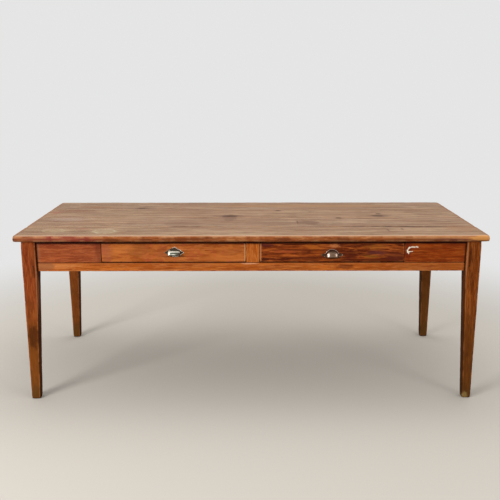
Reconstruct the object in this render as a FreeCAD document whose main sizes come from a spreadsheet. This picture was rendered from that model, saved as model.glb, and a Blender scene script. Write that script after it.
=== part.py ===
import FreeCAD, Part
import os

import Sketcher

# Old pine farmhouse table with two drawers in its front apron.
# Frame: X along the table, Y to the back, Z up, origin on the floor under the middle of the top.
# The drawers and their pulls face -Y.

doc = FreeCAD.newDocument("farmhouse_table")

# Driving dimensions in millimetres
DIMENSIONS = {
    "table_height": 760, "top_length": 2060, "top_depth": 880, "top_thickness": 26,
    "front_plank_width": 211, "tongue_thickness": 8, "tongue_length": 8, "tongue_spare": 0.5,
    "edge_round": 5, "end_overhang": 30, "side_overhang": 17.5,
    "leg_width": 63, "foot_width": 39, "taper_drop": 4,
    "apron_height": 136, "apron_thickness": 22, "apron_setback": 8,
    "rail_height": 39, "rail_thickness": 35, "panel_thickness": 22,
    "muntin_width": 60, "muntin_shift": 6,
    "tenon_thickness": 9, "tenon_length": 30, "tenon_shoulder": 10, "tenon_haunch": 22,
    "mortise_spare": 1.5, "joint_gap": 0.1,
    "peg_radius": 3.5, "peg_length": 30, "dowel_radius": 4, "dowel_length": 32,
    "runner_thickness": 20, "runner_bearing": 20, "guide_width": 38, "guide_height": 28,
    "kicker_thickness": 24, "stub_length": 10, "stub_shoulder": 5,
    "stop_width": 30, "stop_height": 7, "stop_gap": 0.3,
    "button_length": 34, "button_width": 28, "button_thickness": 18, "button_tongue": 8,
    "block_side": 24, "block_nose": 2,
    "screw_radius": 2, "screw_head_radius": 4, "screw_head_height": 2.5, "screw_bite": 14,
    "nail_radius": 1, "nail_head_radius": 2.2, "nail_head_height": 0.8, "nail_bite": 13,
    "drawer_opening": 631, "drawer_play": 1.5, "slide_gap": 0.3, "kicker_gap": 1.2,
    "drawer_head_gap": 5, "drawer_foot_gap": 1.2, "drawer_length": 560, "drawer_front_thickness": 20,
    "drawer_side_thickness": 12, "drawer_back_thickness": 12, "drawer_bottom_thickness": 7,
    "bottom_rise": 9, "groove_depth": 5, "housing_depth": 4, "back_inset": 10, "back_drop": 6,
    "dovetail_lap": 6, "dovetail_width": 14, "dovetail_flare": 2.5,
    "pull_wall": 1.8, "pull_screw_radius": 1.6, "pull_screw_length": 14,
    "pull_head_radius": 3.2, "pull_head_height": 1.6,
    "bin_pull_shift": 3, "bin_pull_rise": 35, "bin_hood_width": 55, "bin_hood_reach": 22,
    "bin_hood_corner": 8, "bin_plate_width": 74, "bin_plate_height": 38, "bin_plate_centre": 10,
    "bin_ear_radius": 5.5, "bin_crown_radius": 6.5,
    "dome_pull_rise": 25, "dome_hood_width": 58, "dome_hood_height": 31, "dome_hood_reach": 24,
    "dome_rim": 4, "dome_ear_spread": 83, "dome_ear_rise": 8.5, "dome_ear_radius": 5.5,
}

# Where things sit along what carries them, as shares of its length
MIDDLE_SHARE = 0.5
BUTTON_SHARE = 0.5
NAIL_SHARES = (0.15, 0.5, 0.85)
STOP_SHARES = (0.18, 0.82)
BACK_NAIL_SHARES = (0.3, 0.7)
DOVETAIL_SHARES = (0.28, 0.75)
PEG_SHARES = (0.25, 0.75)
DOWEL_SHARES = (0.2, 0.8)
CROWN_HEAD_SHARE = 0.6
STRAP_SHARE = 1.4
BLOCK_SHARE = 0.25

PLANK_NAMES = ("top_plank_front", "top_plank_inner_front", "top_plank_inner_back", "top_plank_back")
UP = (0, 0, 1)
DOWN = (0, 0, -1)
INWARD = (0, 1, 0)
FORWARD = (0, -1, 0)
LEFT = (-1, 0, 0)
RIGHT = (1, 0, 0)

sheet = doc.addObject("Spreadsheet::Sheet", "sizes")
for row, (alias, number) in enumerate(DIMENSIONS.items(), start=1):
    sheet.set(f"A{row}", alias)
    sheet.set(f"B{row}", str(number))
    sheet.setAlias(f"B{row}", alias)
doc.recompute()


class Size:
    """A length that knows both its value and the sheet formula behind it."""

    def __init__(self, value, text):
        self.value = value
        self.text = text

    def joined(self, sign, other, value):
        words = other.text if isinstance(other, Size) else repr(other)
        return Size(value, f"({self.text} {sign} {words})")

    def __add__(self, other):
        return self.joined("+", other, self.value + worth(other))

    def __sub__(self, other):
        return self.joined("-", other, self.value - worth(other))

    def __mul__(self, other):
        return self.joined("*", other, self.value * worth(other))

    def __truediv__(self, other):
        return self.joined("/", other, self.value / worth(other))

    def __neg__(self):
        return Size(-self.value, f"(0 - {self.text})")


def worth(quantity):
    return quantity.value if isinstance(quantity, Size) else quantity


def formula(quantity):
    return quantity.text if isinstance(quantity, Size) else repr(quantity)


def size(alias):
    return Size(float(getattr(sheet, alias)), f"sizes.{alias}")


def bind(item, prop, quantity):
    """Tie one property of an object to its formula."""
    item.setExpression(prop, formula(quantity))


def place(item, point, direction=UP):
    turn = FreeCAD.Rotation(FreeCAD.Vector(*UP), FreeCAD.Vector(*direction))
    item.Placement = FreeCAD.Placement(FreeCAD.Vector(0, 0, 0), turn)
    for axis, quantity in zip("xyz", point):
        bind(item, f"Placement.Base.{axis}", quantity)


def between(low, high, share):
    return low + (high - low) * share


def flip(span):
    """The same span on the other side of zero."""
    low, high = span
    return (-high, -low)


def sided(side, span):
    return span if side > 0 else flip(span)


def around(middle, width):
    return (middle - width / 2, middle + width / 2)


def grown(spans, gap):
    return tuple((low - gap, high + gap) for low, high in spans)


def block(name, spans):
    """A board or a cut with its faces at the given X, Y and Z."""
    box = doc.addObject("Part::Box", name)
    for prop, (low, high) in zip(("Length", "Width", "Height"), spans):
        bind(box, prop, high - low)
    place(box, [low for low, high in spans])
    return box


def rod(name, start, direction, length, radius):
    cylinder = doc.addObject("Part::Cylinder", name)
    bind(cylinder, "Height", length)
    bind(cylinder, "Radius", radius)
    place(cylinder, start, direction)
    return cylinder


def cone(name, start, direction, length, wide, narrow):
    taper = doc.addObject("Part::Cone", name)
    bind(taper, "Height", length)
    bind(taper, "Radius1", wide)
    bind(taper, "Radius2", narrow)
    place(taper, start, direction)
    return taper


def fuse(name, members):
    """One solid from boards and tongues that meet."""
    joined = doc.addObject("Part::MultiFuse", name)
    joined.Shapes = members
    joined.Refine = True
    return joined


def cut(name, base, tools):
    """The base with every tool taken out of it."""
    left = doc.addObject("Part::Cut", name)
    left.Base = base
    left.Tool = tools[0] if len(tools) == 1 else fuse(f"{name}_cuts", tools)
    left.Refine = True
    return left


def group(name, members):
    """Like pieces that stay separate solids."""
    bundle = doc.addObject("Part::Compound", name)
    bundle.Links = members
    return bundle


def along(point, direction, distance):
    return [start + distance * step if step else start for start, step in zip(point, direction)]


pieces = {}


def keep(name, item):
    item.Label = name
    pieces[name] = item
    return item


# Places worked out from the driving dimensions
table_height = size("table_height")
half_length = size("top_length") / 2
half_depth = size("top_depth") / 2
top_underside = table_height - size("top_thickness")
joint_gap = size("joint_gap")
leg_out_x = half_length - size("end_overhang")
leg_out_y = half_depth - size("side_overhang")
leg_in_x = leg_out_x - size("leg_width")
leg_in_y = leg_out_y - size("leg_width")
apron_bottom = top_underside - size("apron_height")
rail_top = apron_bottom + size("rail_height")
face_y = leg_out_y - size("apron_setback")
rail_back = face_y - size("rail_thickness")
panel_back = face_y - size("panel_thickness")
back_apron_in = face_y - size("apron_thickness")
end_face_x = leg_out_x - size("apron_setback")
end_apron_in = end_face_x - size("apron_thickness")
muntin_x = size("muntin_shift")
opening_in = size("muntin_width") / 2
opening_out = opening_in + size("drawer_opening")
cheek_out = opening_out + size("guide_width")
kicker_bottom = top_underside - size("kicker_thickness")


def beside(side, span):
    """A span measured out from the middle of the muntin, on one side of it."""
    low, high = sided(side, span)
    return (muntin_x + low, muntin_x + high)


def outwards(side, inner, outer):
    """The span from an inner face to an outer one, lowest first."""
    return (inner, outer) if side > 0 else (outer, inner)


# Fasteners: each comes with the hole that it sits in

def screw(name, start, direction, through):
    """A countersunk wood screw that passes one board and bites the next."""
    length = through + size("screw_bite")
    radius = size("screw_radius")
    head = size("screw_head_radius")
    height = size("screw_head_height")
    shank = rod(f"{name}_shank", start, direction, length, radius)
    body = fuse(name, [shank, cone(f"{name}_head", start, direction, height, head, radius)])
    sunk = rod(f"{name}_bore", start, direction, length + joint_gap, radius + joint_gap)
    seat = cone(f"{name}_sink", start, direction, height, head + joint_gap, radius + joint_gap)
    return body, fuse(f"{name}_hole", [sunk, seat])


def nail(name, start, direction, through):
    """A wire nail with its flat head flush in the wood."""
    length = through + size("nail_bite")
    radius = size("nail_radius")
    head = size("nail_head_radius")
    height = size("nail_head_height")
    shank = rod(f"{name}_shank", start, direction, length, radius)
    body = fuse(name, [shank, rod(f"{name}_head", start, direction, height, head)])
    bore = rod(f"{name}_bore", start, direction, length + joint_gap, radius + joint_gap)
    seat = rod(f"{name}_seat", start, direction, height + joint_gap, head + joint_gap)
    return body, fuse(f"{name}_hole", [bore, seat])


def pin(name, start, direction, length, radius):
    """A round wooden peg or dowel."""
    body = rod(name, start, direction, length, radius)
    back = along(start, direction, -joint_gap)
    return body, rod(f"{name}_hole", back, direction, length + joint_gap * 2, radius + joint_gap)


# Tenons: a tongue on one board and the mortise for it in the next

def mortise(name, spans, deep_axis, sign):
    """The tenon's room, with spare depth past its end."""
    room = list(grown(spans, joint_gap))
    low, high = room[deep_axis]
    spare = size("mortise_spare")
    room[deep_axis] = (low, high + spare) if sign > 0 else (low - spare, high)
    return block(name, room)


front_tenon_y = around(-(face_y - size("panel_thickness") / 2), size("tenon_thickness"))
back_tenon_y = around(face_y - size("apron_thickness") / 2, size("tenon_thickness"))
end_tenon_x = around(end_face_x - size("apron_thickness") / 2, size("tenon_thickness"))
tenon_reach_x = (leg_in_x, leg_in_x + size("tenon_length"))
tenon_reach_y = (leg_in_y, leg_in_y + size("tenon_length"))
rail_tenon_z = (apron_bottom + size("tenon_shoulder"), rail_top)
panel_tenon_z = (rail_top + size("tenon_shoulder"), top_underside - size("tenon_haunch"))
apron_tenon_z = (apron_bottom + size("tenon_shoulder"), top_underside - size("tenon_haunch"))


def tenons_of_leg(side, end):
    """Spans, depth axis and sense of each tenon that enters the leg at this corner."""
    reach_x = sided(side, tenon_reach_x)
    reach_y = sided(end, tenon_reach_y)
    found = [((sided(side, end_tenon_x), reach_y, apron_tenon_z), 1, end)]
    if end > 0:
        found.append(((reach_x, back_tenon_y, apron_tenon_z), 0, side))
    else:
        found.append(((reach_x, front_tenon_y, rail_tenon_z), 0, side))
        found.append(((reach_x, front_tenon_y, panel_tenon_z), 0, side))
    return found


# Pegs that lock the tenons, flush with the outer faces of the legs

peg_x = leg_in_x + size("tenon_length") / 2
peg_y = leg_in_y + size("tenon_length") / 2
pegs = {"front": [], "back": [], "left": [], "right": []}
peg_holes = {}


def add_peg(row, side, end, start, direction):
    name = f"peg_{row}_{len(pegs[row])}"
    body, hole = pin(name, start, direction, size("peg_length"), size("peg_radius"))
    pegs[row].append(body)
    peg_holes.setdefault((row, side, end), []).append(hole)


for side, end_row in ((-1, "left"), (1, "right")):
    middle = between(*rail_tenon_z, MIDDLE_SHARE)
    add_peg("front", side, -1, [peg_x * side, -leg_out_y, middle], INWARD)
    for share in PEG_SHARES:
        height = between(*apron_tenon_z, share)
        add_peg("back", side, 1, [peg_x * side, leg_out_y, height], FORWARD)
        for end in (-1, 1):
            add_peg(end_row, side, end, [leg_out_x * side, peg_y * end, height], (-side, 0, 0))
for row, members in pegs.items():
    keep(f"pegs_{row}", group(f"pegs_{row}", members))


# Legs: square blanks sawn to a taper on their two inner faces

def outline(body, name, role, points):
    """A closed sketch of straight lines whose corners follow the sheet."""
    sketch = body.newObject("Sketcher::SketchObject", name)
    plane = [feature for feature in body.Origin.OriginFeatures if feature.Role == role][0]
    sketch.AttachmentSupport = [(plane, "")]
    sketch.MapMode = "FlatFace"
    corners = [FreeCAD.Vector(worth(across), worth(up), 0) for across, up in points]
    for index, corner in enumerate(corners):
        sketch.addGeometry(Part.LineSegment(corner, corners[(index + 1) % len(corners)]), False)
    for index, (across, up) in enumerate(points):
        following = (index + 1) % len(points)
        sketch.addConstraint(Sketcher.Constraint("Coincident", index, 2, following, 1))
        for kind, quantity in (("DistanceX", across), ("DistanceY", up)):
            row = sketch.addConstraint(Sketcher.Constraint(kind, -1, 1, index, 1, worth(quantity)))
            sketch.setExpression(f"Constraints[{row}]", formula(quantity))
    return sketch


def pocket(body, name, sketch):
    """A cut right through the body, both ways from the sketch."""
    sawn = body.newObject("PartDesign::Pocket", name)
    sawn.Profile = sketch
    sawn.Type = "ThroughAll"
    sawn.SideType = "Symmetric"
    return sawn


def leg_blank(name, side, end):
    """A square post with its outer corner at the body's origin and its taper on the inner faces."""
    body = doc.addObject("PartDesign::Body", f"{name}_blank")
    width = size("leg_width")
    foot = size("foot_width")
    past = width + foot
    taper_top = apron_bottom - size("taper_drop")
    square = outline(body, f"{name}_square", "XY_Plane", [(0, 0), (width, 0), (width, width), (0, width)])
    post = body.newObject("PartDesign::Pad", f"{name}_post")
    post.Profile = square
    bind(post, "Length", top_underside)
    for role in ("XZ_Plane", "YZ_Plane"):
        waste = [(foot, 0), (past, 0), (past, taper_top), (width, taper_top)]
        pocket(body, f"{name}_saw_{role}", outline(body, f"{name}_taper_{role}", role, waste))
    turns = {(-1, -1): 0, (1, -1): 90, (1, 1): 180, (-1, 1): 270}
    quarter = FreeCAD.Rotation(FreeCAD.Vector(*UP), turns[side, end])
    body.Placement = FreeCAD.Placement(FreeCAD.Vector(0, 0, 0), quarter)
    bind(body, "Placement.Base.x", leg_out_x * side)
    bind(body, "Placement.Base.y", leg_out_y * end)
    return body


def leg(side, end):
    name = f"leg_{'back' if end > 0 else 'front'}_{'right' if side > 0 else 'left'}"
    cuts = [hole for (row, *corner), holes in peg_holes.items() if corner == [side, end] for hole in holes]
    for number, (spans, axis, sign) in enumerate(tenons_of_leg(side, end)):
        cuts.append(mortise(f"{name}_mortise_{number}", spans, axis, sign))
    return keep(name, cut(name, leg_blank(name, side, end), cuts))


for side in (-1, 1):
    for end in (-1, 1):
        leg(side, end)


# Drawer runners, guides and kickers: three rows of battens from front to back

rail_cuts = []
back_apron_cuts = []
panel_cuts = {-1: [], 1: []}
muntin_cuts = []
top_cuts = []
kicker_screws = []
guide_nails = []
bearing = size("runner_bearing")
stub = size("stub_length")
shoulder = size("stub_shoulder")
batten_y = (-panel_back, back_apron_in)
plank_width = (half_depth * 2 - size("front_plank_width")) / (len(PLANK_NAMES) - 1)
first_seam = size("front_plank_width") - half_depth
seams = [-half_depth, first_seam]
for step in range(1, len(PLANK_NAMES)):
    seams.append(first_seam + plank_width * step)


def inset(span, margin):
    low, high = span
    return (low + margin, high - margin)


def runner(row, across):
    """A batten under the drawer sides, with stub tenons into the rail and the back apron."""
    name = f"runner_{row}"
    depth = (rail_top - size("runner_thickness"), rail_top)
    board = block(f"{name}_board", (across, (-rail_back, back_apron_in), depth))
    narrow = inset(across, shoulder)
    thin = inset(depth, shoulder)
    front = (narrow, (-rail_back - stub, -rail_back), thin)
    back = (narrow, (back_apron_in, back_apron_in + stub), thin)
    rail_cuts.append(mortise(f"{name}_front_mortise", front, 1, -1))
    back_apron_cuts.append(mortise(f"{name}_back_mortise", back, 1, 1))
    stubs = [block(f"{name}_front_stub", front), block(f"{name}_back_stub", back)]
    return fuse(f"{name}_whole", [board] + stubs)


def guide(row, across, runner_body):
    """A strip nailed on the runner that keeps the drawer straight."""
    name = f"guide_{row}"
    top = rail_top + size("guide_height")
    board = block(f"{name}_board", (across, batten_y, (rail_top, top)))
    middle = between(*across, MIDDLE_SHARE)
    holes = []
    for number, share in enumerate(NAIL_SHARES):
        start = [middle, between(-rail_back, back_apron_in, share), top]
        body, hole = nail(f"{name}_nail_{number}", start, DOWN, size("guide_height"))
        guide_nails.append(body)
        holes.append(hole)
    keep(name, cut(name, board, holes))
    keep(f"runner_{row}", cut(f"runner_{row}", runner_body, holes))


def kicker(row, across, front_across, front_cuts):
    """A batten screwed under the top that stops the open drawer from tipping."""
    name = f"kicker_{row}"
    depth = (kicker_bottom, top_underside)
    board = block(f"{name}_board", (across, batten_y, depth))
    front = (inset(front_across, shoulder), (-panel_back - stub, -panel_back), inset(depth, shoulder))
    front_cuts.append(mortise(f"{name}_mortise", front, 1, -1))
    holes = []
    for number in range(len(PLANK_NAMES)):
        start = [between(*across, MIDDLE_SHARE), (seams[number] + seams[number + 1]) / 2, kicker_bottom]
        body, hole = screw(f"{name}_screw_{number}", start, UP, size("kicker_thickness"))
        kicker_screws.append(body)
        holes.append(hole)
    top_cuts.extend(holes)
    whole = fuse(f"{name}_whole", [board, block(f"{name}_stub", front)])
    keep(name, cut(name, whole, holes))


for row, side in (("left", -1), ("right", 1)):
    carried = beside(side, (opening_out - bearing, cheek_out))
    cheek = beside(side, (opening_out, cheek_out))
    guide(row, cheek, runner(row, carried))
    kicker(row, carried, cheek, panel_cuts[side])
centre_carried = beside(1, (-opening_in - bearing, opening_in + bearing))
centre_cheek = beside(1, (-opening_in, opening_in))
guide("centre", centre_cheek, runner("centre", centre_carried))
kicker("centre", centre_carried, centre_cheek, muntin_cuts)
keep("kicker_screws", group("kicker_screws", kicker_screws))
keep("guide_nails", group("guide_nails", guide_nails))


# Drawer stops: blocks nailed on the rail, which the drawer fronts close against

stops = []
stop_nails = []
stop_y = (size("stop_gap") + size("drawer_front_thickness") - face_y, -rail_back)
for side in (-1, 1):
    for number, share in enumerate(STOP_SHARES):
        name = f"stop_{'right' if side > 0 else 'left'}_{number}"
        middle = muntin_x + (opening_in + size("drawer_opening") * share) * side
        stop_top = rail_top + size("stop_height")
        board = block(f"{name}_board", (around(middle, size("stop_width")), stop_y, (rail_top, stop_top)))
        start = [middle, between(*stop_y, MIDDLE_SHARE), stop_top]
        body, hole = nail(f"{name}_nail", start, DOWN, size("stop_height"))
        stop_nails.append(body)
        stops.append(cut(name, board, [hole]))
        rail_cuts.append(hole)
keep("drawer_stops", group("drawer_stops", stops))
keep("stop_nails", group("stop_nails", stop_nails))


# Front apron: one rail right across, a panel at each end and a muntin between the drawers

panel_dowels = []
for side, word in ((-1, "left"), (1, "right")):
    name = f"front_panel_{word}"
    depth = (-face_y, -panel_back)
    inner = muntin_x + opening_out * side
    outer = leg_in_x * side
    board = block(f"{name}_board", (outwards(side, inner, outer), depth, (rail_top, top_underside)))
    tenon = block(f"{name}_tenon", (sided(side, tenon_reach_x), front_tenon_y, panel_tenon_z))
    for number, share in enumerate(DOWEL_SHARES):
        start = [between(inner, outer, share), between(*front_tenon_y, MIDDLE_SHARE),
                 rail_top - size("dowel_length") / 2]
        body, hole = pin(f"{name}_dowel_{number}", start, UP, size("dowel_length"), size("dowel_radius"))
        panel_dowels.append(body)
        panel_cuts[side].append(hole)
        rail_cuts.append(hole)
    keep(name, cut(name, fuse(f"{name}_whole", [board, tenon]), panel_cuts[side]))
keep("panel_dowels", group("panel_dowels", panel_dowels))

muntin_tenon = (inset(centre_cheek, size("tenon_shoulder")), front_tenon_y,
                (rail_top - size("tenon_length"), rail_top))
muntin_board = block("muntin_board", (centre_cheek, (-face_y, -panel_back), (rail_top, top_underside)))
muntin_whole = fuse("muntin_whole", [muntin_board, block("muntin_tenon", muntin_tenon)])
keep("centre_muntin", cut("centre_muntin", muntin_whole, muntin_cuts))
rail_cuts.append(mortise("muntin_mortise", muntin_tenon, 2, -1))

rail_spans = ((-leg_in_x, leg_in_x), (-face_y, -rail_back), (apron_bottom, rail_top))
rail_parts = [block("rail_board", rail_spans)]
for side in (-1, 1):
    rail_parts.append(block(f"rail_tenon_{len(rail_parts)}",
                            (sided(side, tenon_reach_x), front_tenon_y, rail_tenon_z)))
    rail_cuts.extend(peg_holes["front", side, -1])
keep("front_rail", cut("front_rail", fuse("rail_whole", rail_parts), rail_cuts))


# Back and end aprons, and the wooden buttons that hold the top down on them

buttons = {"back": [], "left": [], "right": []}
button_screws = []
end_apron_cuts = {-1: [], 1: []}
button_depth = (top_underside - size("button_thickness"), top_underside)
tongue_depth = (button_depth[0], button_depth[0] + size("button_tongue"))


def button(row, body_spans, tongue_spans, axis, sign, apron_cuts):
    """A turned-in block: its tongue lies in the apron and its screw bites the top."""
    name = f"button_{row}_{len(buttons[row])}"
    board = block(f"{name}_board", body_spans)
    whole = fuse(f"{name}_whole", [board, block(f"{name}_tongue", tongue_spans)])
    start = [between(*body_spans[0], MIDDLE_SHARE), between(*body_spans[1], MIDDLE_SHARE), button_depth[0]]
    body, hole = screw(f"{name}_screw", start, UP, size("button_thickness"))
    button_screws.append(body)
    top_cuts.append(hole)
    apron_cuts.append(mortise(f"{name}_mortise", tongue_spans, axis, sign))
    buttons[row].append(cut(name, whole, [hole]))


for side, row in ((-1, "left"), (1, "right")):
    across = around((opening_in + size("drawer_opening") / 2) * side, size("button_width"))
    reach = (back_apron_in - size("button_length"), back_apron_in)
    lip = (back_apron_in, back_apron_in + size("button_tongue"))
    button("back", (across, reach, button_depth), (across, lip, tongue_depth), 1, 1, back_apron_cuts)
    reach = sided(side, (end_apron_in - size("button_length"), end_apron_in))
    lip = sided(side, (end_apron_in, end_apron_in + size("button_tongue")))
    for end in (-1, 1):
        across = around(leg_in_y * BUTTON_SHARE * end, size("button_width"))
        button(row, (reach, across, button_depth), (lip, across, tongue_depth), 0, side, end_apron_cuts[side])
for row, members in buttons.items():
    keep(f"top_buttons_{row}", group(f"top_buttons_{row}", members))
keep("button_screws", group("button_screws", button_screws))

apron_depth = (apron_bottom, top_underside)
back_parts = [block("back_apron_board", ((-leg_in_x, leg_in_x), (back_apron_in, face_y), apron_depth))]
for side in (-1, 1):
    back_parts.append(block(f"back_apron_tenon_{len(back_parts)}",
                            (sided(side, tenon_reach_x), back_tenon_y, apron_tenon_z)))
    back_apron_cuts.extend(peg_holes["back", side, 1])
keep("back_apron", cut("back_apron", fuse("back_apron_whole", back_parts), back_apron_cuts))

for side, word in ((-1, "left"), (1, "right")):
    name = f"end_apron_{word}"
    across = sided(side, (end_apron_in, end_face_x))
    parts = [block(f"{name}_board", (across, (-leg_in_y, leg_in_y), apron_depth))]
    for end in (-1, 1):
        parts.append(block(f"{name}_tenon_{len(parts)}",
                           (sided(side, end_tenon_x), sided(end, tenon_reach_y), apron_tenon_z)))
        end_apron_cuts[side].extend(peg_holes[word, side, end])
    keep(name, cut(name, fuse(f"{name}_whole", parts), end_apron_cuts[side]))


# Glue blocks behind the front panels

def wedge(name, across, reach, near, far):
    """A prism whose height span changes from near to far along Y."""
    prism = doc.addObject("Part::Wedge", name)
    for prop, quantity in (("Xmin", across[0]), ("Xmax", across[1]), ("X2min", across[0]),
                           ("X2max", across[1]), ("Ymin", reach[0]), ("Ymax", reach[1]),
                           ("Zmin", near[0]), ("Zmax", near[1]), ("Z2min", far[0]), ("Z2max", far[1])):
        bind(prism, prop, quantity)
    return prism


for side, word in ((-1, "left"), (1, "right")):
    bay_start, bay_end = muntin_x + cheek_out * side, leg_in_x * side
    middle = between(bay_start, bay_end, MIDDLE_SHARE)
    length = (bay_end - bay_start) * side * BLOCK_SHARE
    name = f"glue_block_{word}"
    side_length = size("block_side")
    keep(name, wedge(name, around(middle, length), (-panel_back, side_length - panel_back),
                     (top_underside - side_length, top_underside),
                     (top_underside - size("block_nose"), top_underside)))


# Top: four planks in tongue and groove, worn round along their outer edges

def rounded_slab():
    body = doc.addObject("PartDesign::Body", "top_slab")
    corners = [(-half_length, -half_depth), (half_length, -half_depth),
               (half_length, half_depth), (-half_length, half_depth)]
    pad = body.newObject("PartDesign::Pad", "top_pad")
    pad.Profile = outline(body, "top_outline", "XY_Plane", corners)
    bind(pad, "Length", size("top_thickness"))
    doc.recompute()
    worn = body.newObject("PartDesign::Fillet", "top_round")
    worn.Base = (pad, [f"Edge{number}" for number in range(1, len(pad.Shape.Edges) + 1)])
    bind(worn, "Radius", size("edge_round"))
    bind(body, "Placement.Base.z", top_underside)
    return body


slab = rounded_slab()
tongue_z = around(top_underside + size("top_thickness") / 2, size("tongue_thickness"))
for number, name in enumerate(PLANK_NAMES):
    low, high = seams[number], seams[number + 1]
    board = block(f"{name}_board", ((-half_length, half_length), (low, high), (top_underside, table_height)))
    if number < len(PLANK_NAMES) - 1:
        tongue = block(f"{name}_tongue", ((-half_length, half_length),
                                          (high, high + size("tongue_length")), tongue_z))
        board = fuse(f"{name}_tongued", [board, tongue])
    cuts = [fuse(f"{name}_screw_holes", top_cuts)]
    if number > 0:
        room = size("tongue_length") + size("tongue_spare")
        groove = grown(((-half_length, half_length), (low, low + room), tongue_z), joint_gap)
        cuts.append(block(f"{name}_groove", groove))
    shaped = doc.addObject("Part::Common", f"{name}_shaped")
    shaped.Base = slab
    shaped.Tool = board
    keep(name, cut(name, shaped, cuts))


# Cup pulls, each with its finger hollow open underneath

wall = size("pull_wall")
drawer_floor = rail_top + size("slide_gap")


def oval(name, centre, half_across, half_up):
    """A flat elliptical plate on the drawer front."""
    ring = doc.addObject("Part::Ellipse", f"{name}_outline")
    upright = FreeCAD.Rotation(FreeCAD.Vector(*RIGHT), 90)
    if worth(half_up) > worth(half_across):
        half_across, half_up = half_up, half_across
        upright = upright * FreeCAD.Rotation(FreeCAD.Vector(*UP), 90)
    bind(ring, "MajorRadius", half_across)
    bind(ring, "MinorRadius", half_up)
    ring.Placement = FreeCAD.Placement(FreeCAD.Vector(0, 0, 0), upright)
    for axis, quantity in zip("xyz", centre):
        bind(ring, f"Placement.Base.{axis}", quantity)
    plate = doc.addObject("Part::Extrusion", name)
    plate.Base = ring
    plate.DirMode = "Custom"
    plate.Dir = FreeCAD.Vector(*FORWARD)
    plate.Solid = True
    bind(plate, "LengthFwd", wall)
    return plate


def quadrant(name, centre, half_across, reach, up):
    """The room in front of the drawer and above the pull's mouth."""
    x, y, z = centre
    return block(name, ((x - half_across, x + half_across), (y - reach, y), (z, z + up)))


def common(name, base, tool):
    shared = doc.addObject("Part::Common", name)
    shared.Base = base
    shared.Tool = tool
    return shared


def pull_screw(name, point, holes):
    """A round-headed screw through the pull into the drawer front."""
    x, y, z = point
    start = [x, y - wall, z]
    radius = size("pull_screw_radius")
    head = size("pull_head_radius")
    shank = rod(f"{name}_shank", start, INWARD, size("pull_screw_length"), radius)
    dome = cone(f"{name}_head", start, FORWARD, size("pull_head_height"), head, head * CROWN_HEAD_SHARE)
    length = size("pull_screw_length") + joint_gap * 2
    holes.append(rod(f"{name}_hole", along(start, INWARD, -joint_gap), INWARD, length, radius + joint_gap))
    return fuse(name, [shank, dome])


def drum(name, centre, width, reach, corner):
    """A short round bar along X with softened ends."""
    x, y, z = centre
    bar = rod(f"{name}_bar", [x - width / 2, y, z], RIGHT, width, reach)
    doc.recompute()
    rims = [number for number, edge in enumerate(bar.Shape.Edges, start=1)
            if isinstance(edge.Curve, Part.Circle)]
    soft = doc.addObject("Part::Fillet", name)
    soft.Base = bar
    soft.Edges = [(number, worth(corner), worth(corner)) for number in rims]
    return soft


def ellipsoid(name, centre, half_across, reach, up):
    bulb = doc.addObject("Part::Ellipsoid", name)
    bind(bulb, "Radius1", up)
    bind(bulb, "Radius2", half_across)
    bind(bulb, "Radius3", reach)
    for axis, quantity in zip("xyz", centre):
        bind(bulb, f"Placement.Base.{axis}", quantity)
    return bulb


def bin_pull(name, middle):
    """The left pull: a square-shouldered hood on an oval plate with two ears and a crown."""
    mouth = drawer_floor + size("bin_pull_rise")
    centre = [middle, -face_y, mouth]
    width = size("bin_hood_width")
    reach = size("bin_hood_reach")
    corner = size("bin_hood_corner")
    half_plate = size("bin_plate_width") / 2
    half_height = size("bin_plate_height") / 2
    waist = mouth + size("bin_plate_centre")
    points = [[middle - half_plate, -face_y, waist], [middle + half_plate, -face_y, waist],
              [middle, -face_y, waist + half_height]]
    radii = [size("bin_ear_radius"), size("bin_ear_radius"), size("bin_crown_radius")]
    members = [oval(f"{name}_plate", [middle, -face_y, waist], half_plate, half_height)]
    for number, (point, radius) in enumerate(zip(points, radii)):
        members.append(rod(f"{name}_lobe_{number}", point, FORWARD, wall, radius))
    room = quadrant(f"{name}_room", centre, width, reach * 2, reach * 2)
    members.append(common(f"{name}_hood", drum(f"{name}_drum", centre, width, reach, corner), room))
    scoop = drum(f"{name}_scoop", centre, width - wall * 2, reach - wall, corner - wall)
    finger_room = block(f"{name}_finger_room", (around(middle, width), (-face_y - reach, -face_y - wall),
                                                (mouth - reach, mouth + reach)))
    holes = [common(f"{name}_hollow", scoop, finger_room)]
    screws = [pull_screw(f"{name}_screw_{number}", point, holes) for number, point in enumerate(points)]
    keep(name, cut(name, fuse(f"{name}_whole", members), holes))
    keep(f"{name}_screws", group(f"{name}_screws", screws))
    return holes[1:]


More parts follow.
